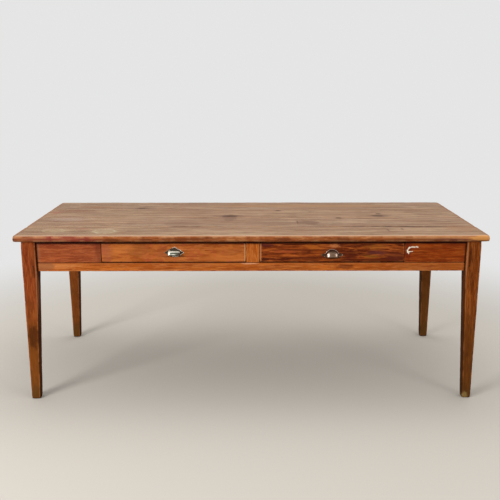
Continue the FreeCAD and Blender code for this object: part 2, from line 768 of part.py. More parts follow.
def dome_pull(name, middle):
    """The right pull: a smooth dome with a thin rim and two small ears."""
    mouth = drawer_floor + size("dome_pull_rise")
    centre = [middle, -face_y, mouth]
    half_width = size("dome_hood_width") / 2
    reach = size("dome_hood_reach")
    up = size("dome_hood_height")
    rim = size("dome_rim")
    spread = size("dome_ear_spread") / 2
    waist = mouth + size("dome_ear_rise")
    points = [[middle - spread, -face_y, waist], [middle + spread, -face_y, waist]]
    room = quadrant(f"{name}_room", centre, half_width * 2, reach * 2, up * 2)
    dome = common(f"{name}_dome", ellipsoid(f"{name}_outside", centre, half_width, reach, up), room)
    plate = oval(f"{name}_plate", centre, half_width + rim, up + rim)
    edge = quadrant(f"{name}_edge", centre, half_width * 2, reach * 2, up * 2)
    strap = block(f"{name}_strap", ((middle - spread, middle + spread), (-face_y - wall, -face_y),
                                    around(waist, size("dome_ear_radius") * STRAP_SHARE)))
    members = [dome, common(f"{name}_rim", plate, edge), strap]
    for number, point in enumerate(points):
        members.append(rod(f"{name}_ear_{number}", point, FORWARD, wall, size("dome_ear_radius")))
    holes = [ellipsoid(f"{name}_hollow", centre, half_width - wall, reach - wall, up - wall)]
    screws = [pull_screw(f"{name}_screw_{number}", point, holes) for number, point in enumerate(points)]
    keep(name, cut(name, fuse(f"{name}_whole", members), holes))
    keep(f"{name}_screws", group(f"{name}_screws", screws))
    return holes[1:]


# Drawers: dovetailed fronts, grooved-in bottoms and housed backs

front_top = top_underside - size("drawer_head_gap")
side_top = kicker_bottom - size("kicker_gap")
front_inside = size("drawer_front_thickness") - face_y
drawer_end = size("drawer_length") - face_y
drawer_in = opening_in + size("drawer_play")
drawer_out = opening_out - size("drawer_play")
side_board = size("drawer_side_thickness")
tail_y = (size("dovetail_lap") - face_y, front_inside)
back_y = (drawer_end - size("back_inset") - size("drawer_back_thickness"), drawer_end - size("back_inset"))
bottom_z = (drawer_floor + size("bottom_rise"),
            drawer_floor + size("bottom_rise") + size("drawer_bottom_thickness"))
back_z = (bottom_z[1], side_top - size("back_drop"))


def dovetail(name, across, share, gap):
    """One tail, or its socket when it has a gap round it."""
    middle = between(drawer_floor, side_top, share)
    half = size("dovetail_width") / 2 + gap
    flare = half + size("dovetail_flare")
    low, high = across
    near, far = tail_y
    return wedge(name, (low - gap, high + gap), (near - gap, far + gap),
                 (middle - flare, middle + flare), (middle - half, middle + half))


def drawer(side, word, pull_holes):
    name = f"drawer_{word}"
    nails = []
    outer = beside(side, (drawer_out - side_board, drawer_out))
    inner = beside(side, (drawer_in, drawer_in + side_board))
    groove = size("groove_depth")
    housing = size("housing_depth")
    bottom_x = beside(side, (drawer_in + side_board - groove, drawer_out - side_board + groove))
    back_x = beside(side, (drawer_in + side_board - housing, drawer_out - side_board + housing))
    bottom_spans = (bottom_x, (front_inside - groove, drawer_end), bottom_z)
    back_spans = (back_x, back_y, back_z)
    bottom_room = block(f"{name}_bottom_room", grown(bottom_spans, joint_gap))
    back_room = block(f"{name}_back_room", grown(back_spans, joint_gap))

    sockets = [bottom_room]
    back_holes = []
    for row, across, inward in (("outer", outer, LEFT if side > 0 else RIGHT),
                                ("inner", inner, RIGHT if side > 0 else LEFT)):
        board_name = f"{name}_{row}_side"
        parts = [block(f"{board_name}_board", (across, (front_inside, drawer_end), (drawer_floor, side_top)))]
        for number, share in enumerate(DOVETAIL_SHARES):
            parts.append(dovetail(f"{board_name}_tail_{number}", across, share, 0))
            sockets.append(dovetail(f"{board_name}_socket_{number}", across, share, joint_gap))
        face = across[1] if inward == LEFT else across[0]
        holes = []
        for number, share in enumerate(BACK_NAIL_SHARES):
            start = [face, between(*back_y, MIDDLE_SHARE), between(*back_z, share)]
            body, hole = nail(f"{board_name}_nail_{number}", start, inward, side_board - housing)
            nails.append(body)
            holes.append(hole)
        back_holes += holes
        whole = fuse(f"{board_name}_whole", parts)
        keep(board_name, cut(board_name, whole, [bottom_room, back_room] + holes))

    bottom_holes = []
    for number, share in enumerate(NAIL_SHARES):
        start = [between(*back_x, share), between(*back_y, MIDDLE_SHARE), bottom_z[0]]
        body, hole = nail(f"{name}_bottom_nail_{number}", start, UP, size("drawer_bottom_thickness"))
        nails.append(body)
        bottom_holes.append(hole)
    board = block(f"{name}_front_board", (beside(side, (drawer_in, drawer_out)), (-face_y, front_inside),
                                          (drawer_floor + size("drawer_foot_gap"), front_top)))
    keep(f"{name}_front", cut(f"{name}_front", board, sockets + pull_holes))
    board = block(f"{name}_back_board", back_spans)
    keep(f"{name}_back", cut(f"{name}_back", board, back_holes + bottom_holes))
    board = block(f"{name}_bottom_board", bottom_spans)
    keep(f"{name}_bottom", cut(f"{name}_bottom", board, bottom_holes))
    keep(f"{name}_nails", group(f"{name}_nails", nails))


pull_middle = opening_in + size("drawer_opening") / 2
drawer(-1, "left", bin_pull("drawer_left_pull", muntin_x - pull_middle + size("bin_pull_shift")))
drawer(1, "right", dome_pull("drawer_right_pull", muntin_x + pull_middle))


# Everything has to be sound before any file is written

doc.recompute()
for item in doc.Objects:
    if "Invalid" in item.State or "Error" in item.State:
        raise RuntimeError(f"{item.Label} did not build: {item.State}")
for name, item in pieces.items():
    if item.Shape.isNull() or not item.Shape.isValid() or not item.Shape.Solids:
        raise RuntimeError(f"{name} has no sound shape")
os.makedirs("parts", exist_ok=True)
for name, item in pieces.items():
    item.Shape.exportStep(f"parts/{name}.step")
print(f"{len(pieces)} pieces written")
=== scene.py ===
import random
from math import asin, copysign, cos, exp, pi, radians, sin, sqrt, tau

import bmesh
import bpy
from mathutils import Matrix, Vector, noise


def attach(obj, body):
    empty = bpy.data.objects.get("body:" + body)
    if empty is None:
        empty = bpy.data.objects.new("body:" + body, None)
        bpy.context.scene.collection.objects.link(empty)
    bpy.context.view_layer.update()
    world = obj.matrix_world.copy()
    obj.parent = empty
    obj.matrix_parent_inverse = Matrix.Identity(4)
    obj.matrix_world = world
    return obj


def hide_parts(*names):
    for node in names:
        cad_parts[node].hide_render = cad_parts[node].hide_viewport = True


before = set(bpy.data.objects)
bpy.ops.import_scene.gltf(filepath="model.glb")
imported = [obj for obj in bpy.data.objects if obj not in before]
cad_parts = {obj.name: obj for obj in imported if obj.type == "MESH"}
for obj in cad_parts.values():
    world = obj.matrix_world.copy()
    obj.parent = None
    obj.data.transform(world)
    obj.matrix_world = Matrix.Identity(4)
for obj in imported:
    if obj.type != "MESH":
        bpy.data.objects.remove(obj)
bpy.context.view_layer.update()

# Legs: four square posts of old pine, planed by hand, tapered on their two inner faces.
# Their red-brown shellac is darker towards the floor, partly its own colour and partly painted shade, and
# darker still at the feet; arrises are rubbed.
UNDER_TOP = 0.734
LEG_OUT = (1.0, 0.4225)
LEG_WIDTH = 0.063
FOOT_WIDTH = 0.039
TAPER_START = 0.594
LEG_ARRIS = 0.0025
ROUND_STEPS = (0, 30, 60, 90)
BY_THE_ARRIS = (0.003, 0.008, 0.018)
WIDEST_CUT = 0.022
RUB_REACH = 0.004
KNOCK_REACH = 0.006
DENT_REACH = 0.002
PLANE_RIPPLE = 0.00022


def side_cuts(length):
    """Shares of a side at which it is cut: close by the arrises, wider between them."""
    if length < 0.012:
        return [0.5]
    near = [d for d in BY_THE_ARRIS if d < 0.4 * length]
    gaps = max(1, round((length - 2 * near[-1]) / WIDEST_CUT))
    middle = [near[-1] + (length - 2 * near[-1]) * k / gaps for k in range(1, gaps)]
    return [d / length for d in near + middle + [length - d for d in reversed(near)]]


def outline(corners):
    """A section's closed line, its corners rounded: for each point its place, outward way,
    distance to an arris and the corner it belongs to. A corner is (across, up, radius, next side)."""
    traced = []
    spots = [Vector(corner[:2]) for corner in corners]
    for i, spot in enumerate(spots):
        radius = corners[i][2]
        after = (i + 1) % len(spots)
        came = (spot - spots[i - 1]).normalized()
        goes = (spots[after] - spot).normalized()
        convex = came.cross(goes) > 0
        centre = spot - came * radius + goes * radius
        for angle in ROUND_STEPS:
            turn = radians(angle)
            away = came * sin(turn) - goes * cos(turn)
            traced.append((centre + away * radius, away if convex else -away, 0.0 if convex else 1.0, i))
        start = spot + goes * radius
        side = (spots[after] - start).length - corners[after][2]
        for share in side_cuts(corners[i][3]):
            nearest = i if share < 0.5 else after
            traced.append((start + goes * side * share, Vector((goes.y, -goes.x)),
                           side * min(share, 1 - share), nearest))
    return traced


def squared(low, high, radius, sides=None):
    """A square-edged section with eased arrises, drawn in by the inset where an end is rounded.
    It is cut to suit its own sides, or the given sides of the section that it joins."""
    wide, tall = sides or (high[0] - low[0], high[1] - low[1])

    def section(place, inset):
        r = max(radius - inset, 0.2 * radius)
        u0, v0 = low[0] + inset, low[1] + inset
        u1, v1 = high[0] - inset, high[1] - inset
        return ((u0, v0, r, wide), (u1, v0, r, tall), (u1, v1, r, wide), (u0, v1, r, tall))
    return section


def strung(start, end, ease, pitch, knocks):
    """Where a run is cut along the grain: (place, inset, how far the surface leans)."""
    length = end - start
    turns = [radians(angle) for angle in ROUND_STEPS]
    rounded = [(ease * (1 - cos(t)), ease * (1 - sin(t)), cos(t)) for t in turns]
    places = {ease + d for d in BY_THE_ARRIS}
    places |= {length - p for p in places}
    count = max(1, round(length / pitch))
    places |= {length * k / count for k in range(1, count)}
    for at, corner, half, deep in knocks:
        places |= {at - start + half * k for k in (-1.5, -0.7, 0, 0.7, 1.5)}
    kept = []
    for p in sorted(places):
        if ease + 0.001 < p < length - ease - 0.001 and (not kept or p - kept[-1] > 0.0006):
            kept.append(p)
    cuts = [(start + p, inset, -lean) for p, inset, lean in rounded]
    cuts += [(start + p, 0.0, 0.0) for p in kept]
    return cuts + [(end - p, inset, lean) for p, inset, lean in reversed(rounded)]


def stick(name, grain, runs, seed, wear=0.0008, pitch=0.02, knocks=0):
    """A piece of timber, made run by run along its grain, its arrises rubbed and knocked by use.
    A run is (start, end, section, rounding of its ends)."""
    chance = random.Random(seed)
    along = "XYZ".index(grain)
    across, up = [k for k in range(3) if k != along]
    body = max(runs, key=lambda run: run[1] - run[0])
    corner_count = len(body[2](body[0], 0.0))
    dents = [(chance.uniform(body[0], body[1]), chance.randrange(corner_count),
              chance.uniform(0.002, 0.006), chance.uniform(0.0004, 0.0014)) for _ in range(knocks)]
    shift = Vector((seed * 3.7, seed * 1.3, seed * 2.9))
    points, arris, rings = [], [], []
    for run in runs:
        start, end, section, ease = run
        for place, inset, lean in strung(start, end, ease, pitch, dents if run is body else []):
            level = sqrt(max(0.0, 1 - lean * lean))
            to_end = min(abs(place - start), abs(end - place))
            rings.append(len(points))
            for (u, v), (out_u, out_v), gap, corner in outline(section(place, inset)):
                point, out = Vector(), Vector()
                point[along], point[across], point[up] = place, u, v
                out[along], out[across], out[up] = lean, out_u * level, out_v * level
                near = exp(-min(gap, to_end) / RUB_REACH)
                rubbed = 0.6 + 0.7 * noise.noise(point * 7 + shift) + 0.5 * noise.noise(point * 55 + shift)
                depth = wear * near * max(0.0, rubbed)
                depth += 3.2 * wear * exp(-(gap + to_end) / KNOCK_REACH)
                depth += PLANE_RIPPLE * (1 + noise.noise(point * 3 + shift)) * (1 - near)
                for at, which, half, deep in dents:
                    if which == corner and abs(place - at) < 3 * half:
                        depth += deep * exp(-((place - at) / half) ** 2 - gap / DENT_REACH)
                points.append(point - out * depth)
                arris.append(near)
    size = len(points) // len(rings)
    faces = [list(range(size - 1, -1, -1)), list(range(rings[-1], len(points)))]
    for a in rings[:-1]:
        b = a + size
        faces += [(a + i, a + (i + 1) % size, b + (i + 1) % size, b + i) for i in range(size)]
    mesh = bpy.data.meshes.new(name)
    mesh.from_pydata(points, [], faces)
    mesh.attributes.new("arris", "FLOAT", "POINT").data.foreach_set("value", arris)
    return shown(name, mesh)


def placed(name, data):
    """Set a mesh, a lamp or the camera in the scene as an object."""
    thing = bpy.data.objects.new(name, data)
    bpy.context.scene.collection.objects.link(thing)
    return thing


def shown(name, mesh, crease=40):
    """Put a mesh in the scene, its faces turned outward, smooth but for sharp creases."""
    form = bmesh.new()
    form.from_mesh(mesh)
    bmesh.ops.recalc_face_normals(form, faces=form.faces)
    form.to_mesh(mesh)
    form.free()
    mesh.polygons.foreach_set("use_smooth", [True] * len(mesh.polygons))
    mesh.set_sharp_from_angle(angle=radians(crease))
    return placed(name, mesh)


def fit(piece, finish, slot, *nodes, body="table_frame"):
    """Give a piece its finish and set it on its body, in place of its CAD nodes."""
    piece.data.materials.append(finish)
    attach(piece, body)
    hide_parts(*nodes)


def tone(red, green, blue):
    """A colour given as 0 to 255, made ready for the shader."""
    parts = [c / 255 for c in (red, green, blue)]
    return [c / 12.92 if c <= 0.04045 else ((c + 0.055) / 1.055) ** 2.4 for c in parts] + [1.0]


class Finish:
    """A material laid on in coats: each call puts one more over the last."""

    def __init__(self, name, ground, grain="X", seed=0):
        self.material = bpy.data.materials.new(name)
        self.material.use_nodes = True
        self.tree = self.material.node_tree
        self.shader = self.tree.nodes["Principled BSDF"]
        self.place = self.node("TexCoord").outputs["Object"]
        self.parts = self.node("SeparateXYZ", {0: self.place}).outputs
        order = {"X": (0, 1, 2), "Y": (1, 0, 2), "Z": (2, 0, 1)}[grain]
        self.grain = self.node("CombineXYZ", {k: self.parts[order[k]] for k in range(3)}).outputs[0]
        self.lot = self.vector("ADD", self.grain, (seed * 1.7, seed * 0.31, seed * 0.53))
        self.colour = self.node("RGB").outputs[0]
        self.colour.default_value = tone(*ground)

    def node(self, kind, inputs=None, **settings):
        made = self.tree.nodes.new("ShaderNode" + kind)
        for key, value in settings.items():
            setattr(made, key, value)
        for key, value in (inputs or {}).items():
            if isinstance(value, bpy.types.NodeSocket):
                self.tree.links.new(value, made.inputs[key])
            else:
                made.inputs[key].default_value = value
        return made

    def sum(self, way, a, b=0.0, c=0.0):
        return self.node("Math", {0: a, 1: b, 2: c}, operation=way).outputs[0]

    def vector(self, way, a, b=(0, 0, 0), out="Vector"):
        return self.node("VectorMath", {0: a, 1: b}, operation=way).outputs[out]

    def cloud(self, size, detail=2.0, rough=0.5, warp=0.0, place=None):
        """Soft blotches of about this size in metres: one number, (along, across) or all three ways."""
        size = size if isinstance(size, tuple) else (size, size)
        at = self.vector("DIVIDE", place or self.lot, (size[0], size[1], size[-1]))
        wanted = {"Vector": at, "Scale": 1.0, "Detail": detail, "Roughness": rough, "Distortion": warp}
        return self.node("TexNoise", wanted).outputs[0]

    def spread(self, value, low, high, first=0.0, last=1.0):
        wanted = {"Value": value, "From Min": low, "From Max": high, "To Min": first, "To Max": last}
        return self.node("MapRange", wanted, interpolation_type="SMOOTHSTEP").outputs[0]

    def coat(self, share, colour):
        """Lay a colour over what is there, as much as share says at each place."""
        mixed = self.node("Mix", {0: share, 6: self.colour, 7: tone(*colour)}, data_type="RGBA")
        self.colour = mixed.outputs[2]

    def lay(self, colour, share, value, low, high):
        """Lay a colour where a value goes from low to high, up to its share."""
        self.coat(self.spread(value, low, high, 0.0, share), colour)

    def tint(self, size, colour, share, low=0.48, high=0.62, warp=0.6):
        """Stains or lights of about this size, scattered along the grain."""
        self.lay(colour, share, self.cloud(size, 4.0, 0.6, warp), low, high)

    def away(self, centre, size):
        """How far a place lies from a centre, where the size counts as one."""
        off = self.vector("DIVIDE", self.vector("SUBTRACT", self.place, centre), size)
        return self.vector("LENGTH", off, out="Value")

    def frayed(self, reach, ragged, size, detail=3.0, place=None):
        """A distance made uneven, so that the edge of a mark is ragged."""
        fray = self.sum("SUBTRACT", self.cloud(size, detail, 0.6, place=place), 0.5)
        return self.sum("MULTIPLY_ADD", fray, ragged * 2, reach)

    def patch(self, centre, size, colour, share=0.8, soft=0.8, ragged=0.9):
        """A mark round one place on the piece, with a ragged, soft edge."""
        uneven = tuple(s * 0.7 for s in size)
        reach = self.frayed(self.away(centre, size), ragged, uneven, 4.0, self.place)
        self.lay(colour, share, reach, 1 + soft / 2, 1 - soft / 2)

    def band(self, axis, at, reach, colour, share=0.8, ragged=0.5):
        """Colour along one edge, at this place on the axis, gone a little way off: dirt and wear, and also
        painted shade and highlights.
        """
        away = self.sum("ABSOLUTE", self.sum("SUBTRACT", self.parts["XYZ".index(axis)], at))
        away = self.frayed(self.sum("DIVIDE", away, reach), ragged, (0.07, 0.02), 4.0)
        self.lay(colour, share, away, 1.3, 0.4)

    def stroke(self, start, end, width, colour, share=0.9, ragged=0.5):
        """A brush stroke from one place to another."""
        run = Vector(end) - Vector(start)
        gone = self.vector("SUBTRACT", self.place, start)
        along = self.sum("DIVIDE", self.vector("DOT_PRODUCT", gone, run, "Value"), run.length_squared)
        held = self.node("Clamp", {0: along, 1: 0.0, 2: 1.0}).outputs[0]
        steps = {k: self.sum("MULTIPLY", held, run[k]) for k in range(3)}
        reach = self.vector("DISTANCE", gone, self.node("CombineXYZ", steps).outputs[0], "Value")
        reach = self.sum("DIVIDE", reach, width / 2)
        self.lay(colour, share, self.frayed(reach, ragged, width * 1.5, place=self.place), 1.15, 0.75)

    def ring(self, centre, size, colour, share=0.7, thick=0.25):
        """A mark left by a wet cup: a thin broken ring round one place."""
        reach = self.frayed(self.away(centre, size), 0.45, size, place=self.place)
        off = self.sum("ABSOLUTE", self.sum("SUBTRACT", reach, 1.0))
        broken = self.spread(self.cloud(size[0] * 0.4, 3.0, 0.6, place=self.place), 0.4, 0.58, 0.15, share)
        self.coat(self.sum("MULTIPLY", self.spread(off, thick, 0.2 * thick), broken), colour)

    def arris(self):
        """How near an arris a place lies on the wood, or on the pulls how bright their painted light is."""
        return self.node("Attribute", attribute_name="arris").outputs["Fac"]

    def rub(self, colour, share=0.8):
        """The finish is rubbed thin along the arrises, here more and there less."""
        patchy = self.cloud(0.05, 4.0, 0.6, place=self.place)
        wear_and_sheen = self.sum("MULTIPLY", self.spread(self.arris(), 0.2, 0.95), self.spread(patchy, 0.4, 0.62))
        self.coat(self.sum("MULTIPLY", wear_and_sheen, share), colour)

    def done(self, rough, relief, deep=0.0005, strength=0.5):
        """Join the coats, the roughness and the relief to the shader."""
        bump = self.node("Bump", {"Height": relief, "Distance": deep, "Strength": strength})
        for value, use in ((self.colour, "Base Color"), (rough, "Roughness"), (bump.outputs[0], "Normal")):
            self.tree.links.new(value, self.shader.inputs[use])
        return self.material


class OldWood(Finish):
    """Sawn softwood: year rings round the heart of the tree, fibres, slow drifts of colour."""

    def __init__(self, name, grain, seed, tones, heart, ring=0.007, slope=0.03, figure=0.5, streaks=0.7,
                 drifts=0.7, lights=0.5, wave=0.5):
        middle, dark, aged, light = tones
        super().__init__(name, middle, grain, seed)
        laid = {0: self.grain, 1: (0.0, -heart[0], -heart[1]), 2: (0.0, slope, slope * 0.6)}
        across = self.vector("MULTIPLY", self.node("Mapping", laid).outputs[0], (0.0, 1.0, 1.0))
        wander = self.cloud((wave, 0.07, 0.07), 3.0, 0.5)
        radius = self.sum("MULTIPLY_ADD", wander, 0.05, self.vector("LENGTH", across, out="Value"))
        year = self.sum("FRACT", self.sum("DIVIDE", radius, ring))
        self.late = self.sum("MULTIPLY", self.spread(year, 0.2, 0.85), self.spread(year, 1.0, 0.9))
        self.streak = self.cloud((0.2, 0.011), 5.0, 0.62, 0.5)
        self.fibre = self.cloud((0.05, 0.0011), 3.0, 0.6)
        self.tint((0.4, 0.05), aged, drifts, 0.46, 0.58)
        self.tint((0.14, 0.018), light, lights, 0.5, 0.6)
        self.tint((0.1, 0.026), dark, drifts * 0.6, 0.52, 0.62)
        self.coat(self.sum("MULTIPLY", self.late, figure), dark)
        self.lay(dark, streaks, self.streak, 0.47, 0.62)
        self.tint((0.06, 0.0042), dark, 0.5, 0.51, 0.6, 0.3)
        self.tint((0.045, 0.0036), light, 0.5, 0.53, 0.62, 0.3)
        self.lay(dark, 0.4, self.fibre, 0.5, 0.72)

    def knot(self, centre, size, colour, share=0.85):
        """A knot: a dark heart in a ring of darker, swirled wood."""
        self.patch(centre, tuple(s * 1.7 for s in size), colour, share * 0.45, 1.0, 0.7)
        self.patch(centre, size, colour, share, 0.5, 0.5)

    def polished(self, gloss=0.42, relief=0.35, shine=0.05):
        self.shader.inputs["Specular IOR Level"].default_value = shine
        rough = self.sum("MULTIPLY_ADD", self.streak, 0.3, gloss - 0.15)
        return self.done(rough, self.sum("MULTIPLY_ADD", self.late, relief, self.fibre))


def marked(wood, marks, face, deep=0.03):
    """Marks on a face at this Y: (x, z, half its length, half its height, colour, share and so on)."""
    for x, z, long, tall, *look in marks:
        wood.patch((x, face, z), (long, deep, tall), *look)


def tapered(side, end):
    """A leg's section at each height: full behind the aprons, smaller to the foot."""
    def section(place, inset):
        share = min(1.0, max(0.0, 1 - place / TAPER_START))
        width = LEG_WIDTH - (LEG_WIDTH - FOOT_WIDTH) * share
        spans = [sorted((sign * out, sign * (out - width))) for sign, out in zip((side, end), LEG_OUT)]
        return squared(*zip(*spans), LEG_ARRIS, (LEG_WIDTH, LEG_WIDTH))(place, inset)
    return section


FOOT_DARKENING = (84, 60, 28)
RUBBED_SHELLAC = (182, 112, 62)
# Dark of the checks in the wood, also used for a painted contact shadow at the feet.
CHECK_AND_CONTACT_SHADOW = (44, 18, 10)
# Colour of the painted shade on the legs' inward faces.
INNER_FACE_SHADE = (54, 24, 2)
LEGS = {
    "leg_front_left": (
        -1, -1, 3, ((146, 70, 32), (92, 36, 14), (126, 50, 24), (170, 92, 44)), (114, 70, 22),
        (-0.972, 0.3, 0.022, 0.055, CHECK_AND_CONTACT_SHADOW, 0.6), (-0.95, 0.6, 0.008, 0.03, CHECK_AND_CONTACT_SHADOW, 0.55),
        (-0.941, 0.5, 0.005, 0.15, (180, 114, 72), 0.5)),
    "leg_front_right": (
        1, -1, 4, ((148, 76, 23), (80, 34, 12), (116, 54, 20), (168, 98, 46)), (84, 52, 20),
        (0.9535, 0.663, 0.006, 0.042, CHECK_AND_CONTACT_SHADOW, 0.65, 0.9, 0.5),
        (0.941, 0.66, 0.0035, 0.1, (190, 124, 80), 0.5), (0.972, 0.012, 0.012, 0.016, (156, 132, 80), 0.6)),
    "leg_back_left": (-1, 1, 5, ((158, 82, 32), (98, 46, 16), (130, 62, 26), (182, 108, 52)), (112, 62, 24)),
    "leg_back_right": (1, 1, 6, ((124, 66, 27), (78, 38, 14), (100, 50, 20), (154, 92, 44)), (108, 68, 30)),
}
for node, (side, end, seed, tones, foot, *marks) in LEGS.items():
    leg = stick(f"{node}_post", "Z", [(0.0, UNDER_TOP, tapered(side, end), 0.0015)], seed, 0.0012, knocks=9)
    wood = OldWood(node, "Z", seed, tones, (side * 0.9, end * 0.33), figure=0.3, streaks=0.42, lights=0.4)
    # Darker towards the floor and darker still at the feet: partly the finish's own colour, partly painted
    # shade.
    height = wood.sum("MULTIPLY_ADD", wood.cloud(0.06, 4.0, 0.6, place=wood.place), 0.16, wood.parts[2])
    wood.lay(foot, 0.6, height, 0.6, 0.3)
    wood.lay(FOOT_DARKENING, 0.6, height, 0.18, 0.1)
    wood.tint((0.05, 0.012), CHECK_AND_CONTACT_SHADOW, 0.22, 0.6, 0.72)
    facing = wood.node("SeparateXYZ", {0: wood.node("TexCoord").outputs["Normal"]}).outputs[0]
    wood.rub(RUBBED_SHELLAC, 0.55)
    # Faces turned inward, away from the light, are darkened as painted shade.
    wood.lay(INNER_FACE_SHADE, 0.78, wood.sum("MULTIPLY", facing, -side), 0.15, 0.6)
    # Painted contact shadow along the foot where it meets the floor.
    wood.band("Z", 0.0, 0.005, CHECK_AND_CONTACT_SHADOW, 0.8, 0.4)
    marked(wood, marks, -LEG_OUT[1])
    fit(leg, wood.polished(0.6, shine=0.02), "leg", node)

# Aprons: three boards of the same pine that tie the legs together at the back and at both ends.
# Their tenons go into the legs; the outside is finished like the legs, the inside left from the saw.
APRON_LOW = 0.598
SHOULDER = 0.937
TENON = 0.03
TENON_LOW, TENON_HIGH = 0.608, 0.712
SHOULDER_EASE = 0.0003
RAW_INSIDE = (150, 108, 66)
# Near-black colour for painted shade, in gaps between parts and under the overhanging top.
PAINTED_SHADE = (36, 4, 1)


def lay_painted_shade(wood):
    """Painted shade close under the overhanging top and in the recessed corners by the legs."""
    for corner in (-SHOULDER, SHOULDER):
        wood.band("X", corner, 0.0075, PAINTED_SHADE, 0.85, 0.1)
    wood.band("Z", UNDER_TOP - 0.004, 0.012, (70, 24, 8), 0.75, 0.3)
    wood.band("Z", UNDER_TOP - 0.0065, 0.0064, PAINTED_SHADE, 0.97, 0.2)


def tenoned(low, high, grain, arris, tenon_low, tenon_high, ends=(True, True)):
    """The runs of a board between its corners, with a tenon of the given section at its ends."""
    along = "XYZ".index(grain)
    rest = [k for k in range(3) if k != along]
    body = squared([low[k] for k in rest], [high[k] for k in rest], arris)
    tongue = squared(tenon_low, tenon_high, 0.0004, [high[k] - low[k] for k in rest])
    runs = [(low[along], high[along], body, SHOULDER_EASE)]
    if ends[0]:
        runs.insert(0, (low[along] - TENON, low[along], tongue, SHOULDER_EASE))
    if ends[1]:
        runs.append((high[along], high[along] + TENON, tongue, SHOULDER_EASE))
    return runs


APRON_TONES = ((154, 78, 36), (98, 42, 18), (126, 56, 26), (178, 102, 54))
APRONS = {
    "back_apron": ("X", 11, -SHOULDER, SHOULDER, 0.3925, 0.4145, 0.399, 0.408, ("Y", 0.3925)),
    "end_apron_left": ("Y", 12, -0.3595, 0.3595, -0.992, -0.97, -0.9855, -0.9765, ("X", -0.97)),
    "end_apron_right": ("Y", 13, -0.3595, 0.3595, 0.97, 0.992, 0.9765, 0.9855, ("X", 0.97)),
}
for node, (grain, seed, start, end, near, far, *tenon, inside) in APRONS.items():
    low, high = ((start, near), (end, far)) if grain == "X" else ((near, start), (far, end))
    runs = tenoned((*low, APRON_LOW), (*high, UNDER_TOP), grain, 0.0015,
                   (tenon[0], TENON_LOW), (tenon[1], TENON_HIGH))
    apron = stick(f"{node}_board", grain, runs, seed, knocks=8)
    heart = (0.48, 0.67) if grain == "X" else (copysign(1.05, near), 0.66)
    wood = OldWood(node, grain, seed, APRON_TONES, heart)
    # Painted shade along the top edge, under the overhanging top.
    wood.band("Z", UNDER_TOP, 0.008, PAINTED_SHADE, 0.7)
    wood.rub(RUBBED_SHELLAC, 0.6)
    wood.band(*inside, 0.003, RAW_INSIDE, 0.95, 0.0)
    fit(apron, wood.polished(), "apron", node)

# Front: a long rail under the drawers, a fixed panel at each end and an upright between the drawers.
# Rail and upright are pale orange, the left panel is redder, the right one dark with a smear of paint.
FRONT_FACE = -0.4145
FRONT_BACK = -0.3925
TENON_FACE, TENON_BACK = -0.408, -0.399
RAIL_TOP = 0.637
RAIL_BACK = -0.3795
RAIL_TONES = ((194, 104, 38), (132, 58, 18), (166, 82, 28), (208, 128, 66))
RAIL_STAINS = (
    (-0.86, 0.622, 0.1, 0.012, (214, 138, 78), 0.5), (0.41, 0.618, 0.035, 0.012, (90, 36, 16), 0.6),
    (0.8, 0.618, 0.16, 0.02, (132, 66, 28), 0.4))
RAIL_RUBS = (
    (-0.008, 0.6325, 0.034, 0.0032, (236, 172, 132), 0.6), (-0.9, 0.622, 0.035, 0.03, (136, 84, 56), 0.6))
rail_runs = tenoned((-SHOULDER, FRONT_FACE, APRON_LOW), (SHOULDER, RAIL_BACK, RAIL_TOP), "X", 0.0015,
                    (TENON_FACE, TENON_LOW), (TENON_BACK, RAIL_TOP - 0.0003))
rail = stick("front_rail_board", "X", rail_runs, 21, knocks=14)
wood = OldWood("front_rail", "X", 21, RAIL_TONES, (-0.49, 0.63), figure=0.4, streaks=0.55)
marked(wood, RAIL_STAINS, FRONT_FACE)
wood.rub((214, 140, 82))
wood.band("Z", RAIL_TOP - 0.003, 0.005, (172, 92, 40), 0.75, 0.5)
marked(wood, RAIL_RUBS, FRONT_FACE)
lay_painted_shade(wood)
# Painted shade in the gap line under the drawers and panels.
wood.band("Z", RAIL_TOP, 0.0026, PAINTED_SHADE, 0.75, 0.3)
# Painted shade on the rail's lower arris.
wood.band("Z", APRON_LOW, 0.0022, (104, 48, 20), 0.7, 0.3)
fit(rail, wood.polished(), "rail", "front_rail")

PANELS = {
    "front_panel_left": (
        22, -SHOULDER, -0.655, (True, False), ((168, 86, 46), (122, 52, 26), (146, 66, 34), (180, 104, 62)),
        (-0.664, 0.69, 0.016, 0.06, (104, 46, 28), 0.55), (-0.7, 0.722, 0.04, 0.008, (100, 44, 28), 0.5),
        (-0.93, 0.69, 0.012, 0.06, (150, 96, 66), 0.5)),
    "front_panel_right": (
        23, 0.667, SHOULDER, (False, True), ((154, 66, 16), (104, 38, 8), (132, 50, 12), (176, 92, 34)),
        (0.678, 0.7, 0.02, 0.05, (100, 26, 12), 0.6)),
}
PAINT_WHITE = (252, 240, 218)
SMEAR = (
    (0.6795, 0.6905, 0.6812, 0.6835, 0.0072, 0.95), (0.6805, 0.692, 0.6842, 0.6985, 0.0042, 0.75),
    (0.6842, 0.6985, 0.689, 0.7035, 0.0068, 0.95), (0.689, 0.7035, 0.7, 0.7062, 0.005, 0.8),
    (0.7, 0.7062, 0.7115, 0.705, 0.0056, 0.75), (0.713, 0.7056, 0.717, 0.7066, 0.0036, 0.5),
    (0.7196, 0.7072, 0.7232, 0.7056, 0.007, 0.72), (0.6812, 0.685, 0.689, 0.6848, 0.0062, 0.9),
    (0.689, 0.6848, 0.7025, 0.6862, 0.0036, 0.7), (0.6828, 0.685, 0.6852, 0.6765, 0.005, 0.8),
)
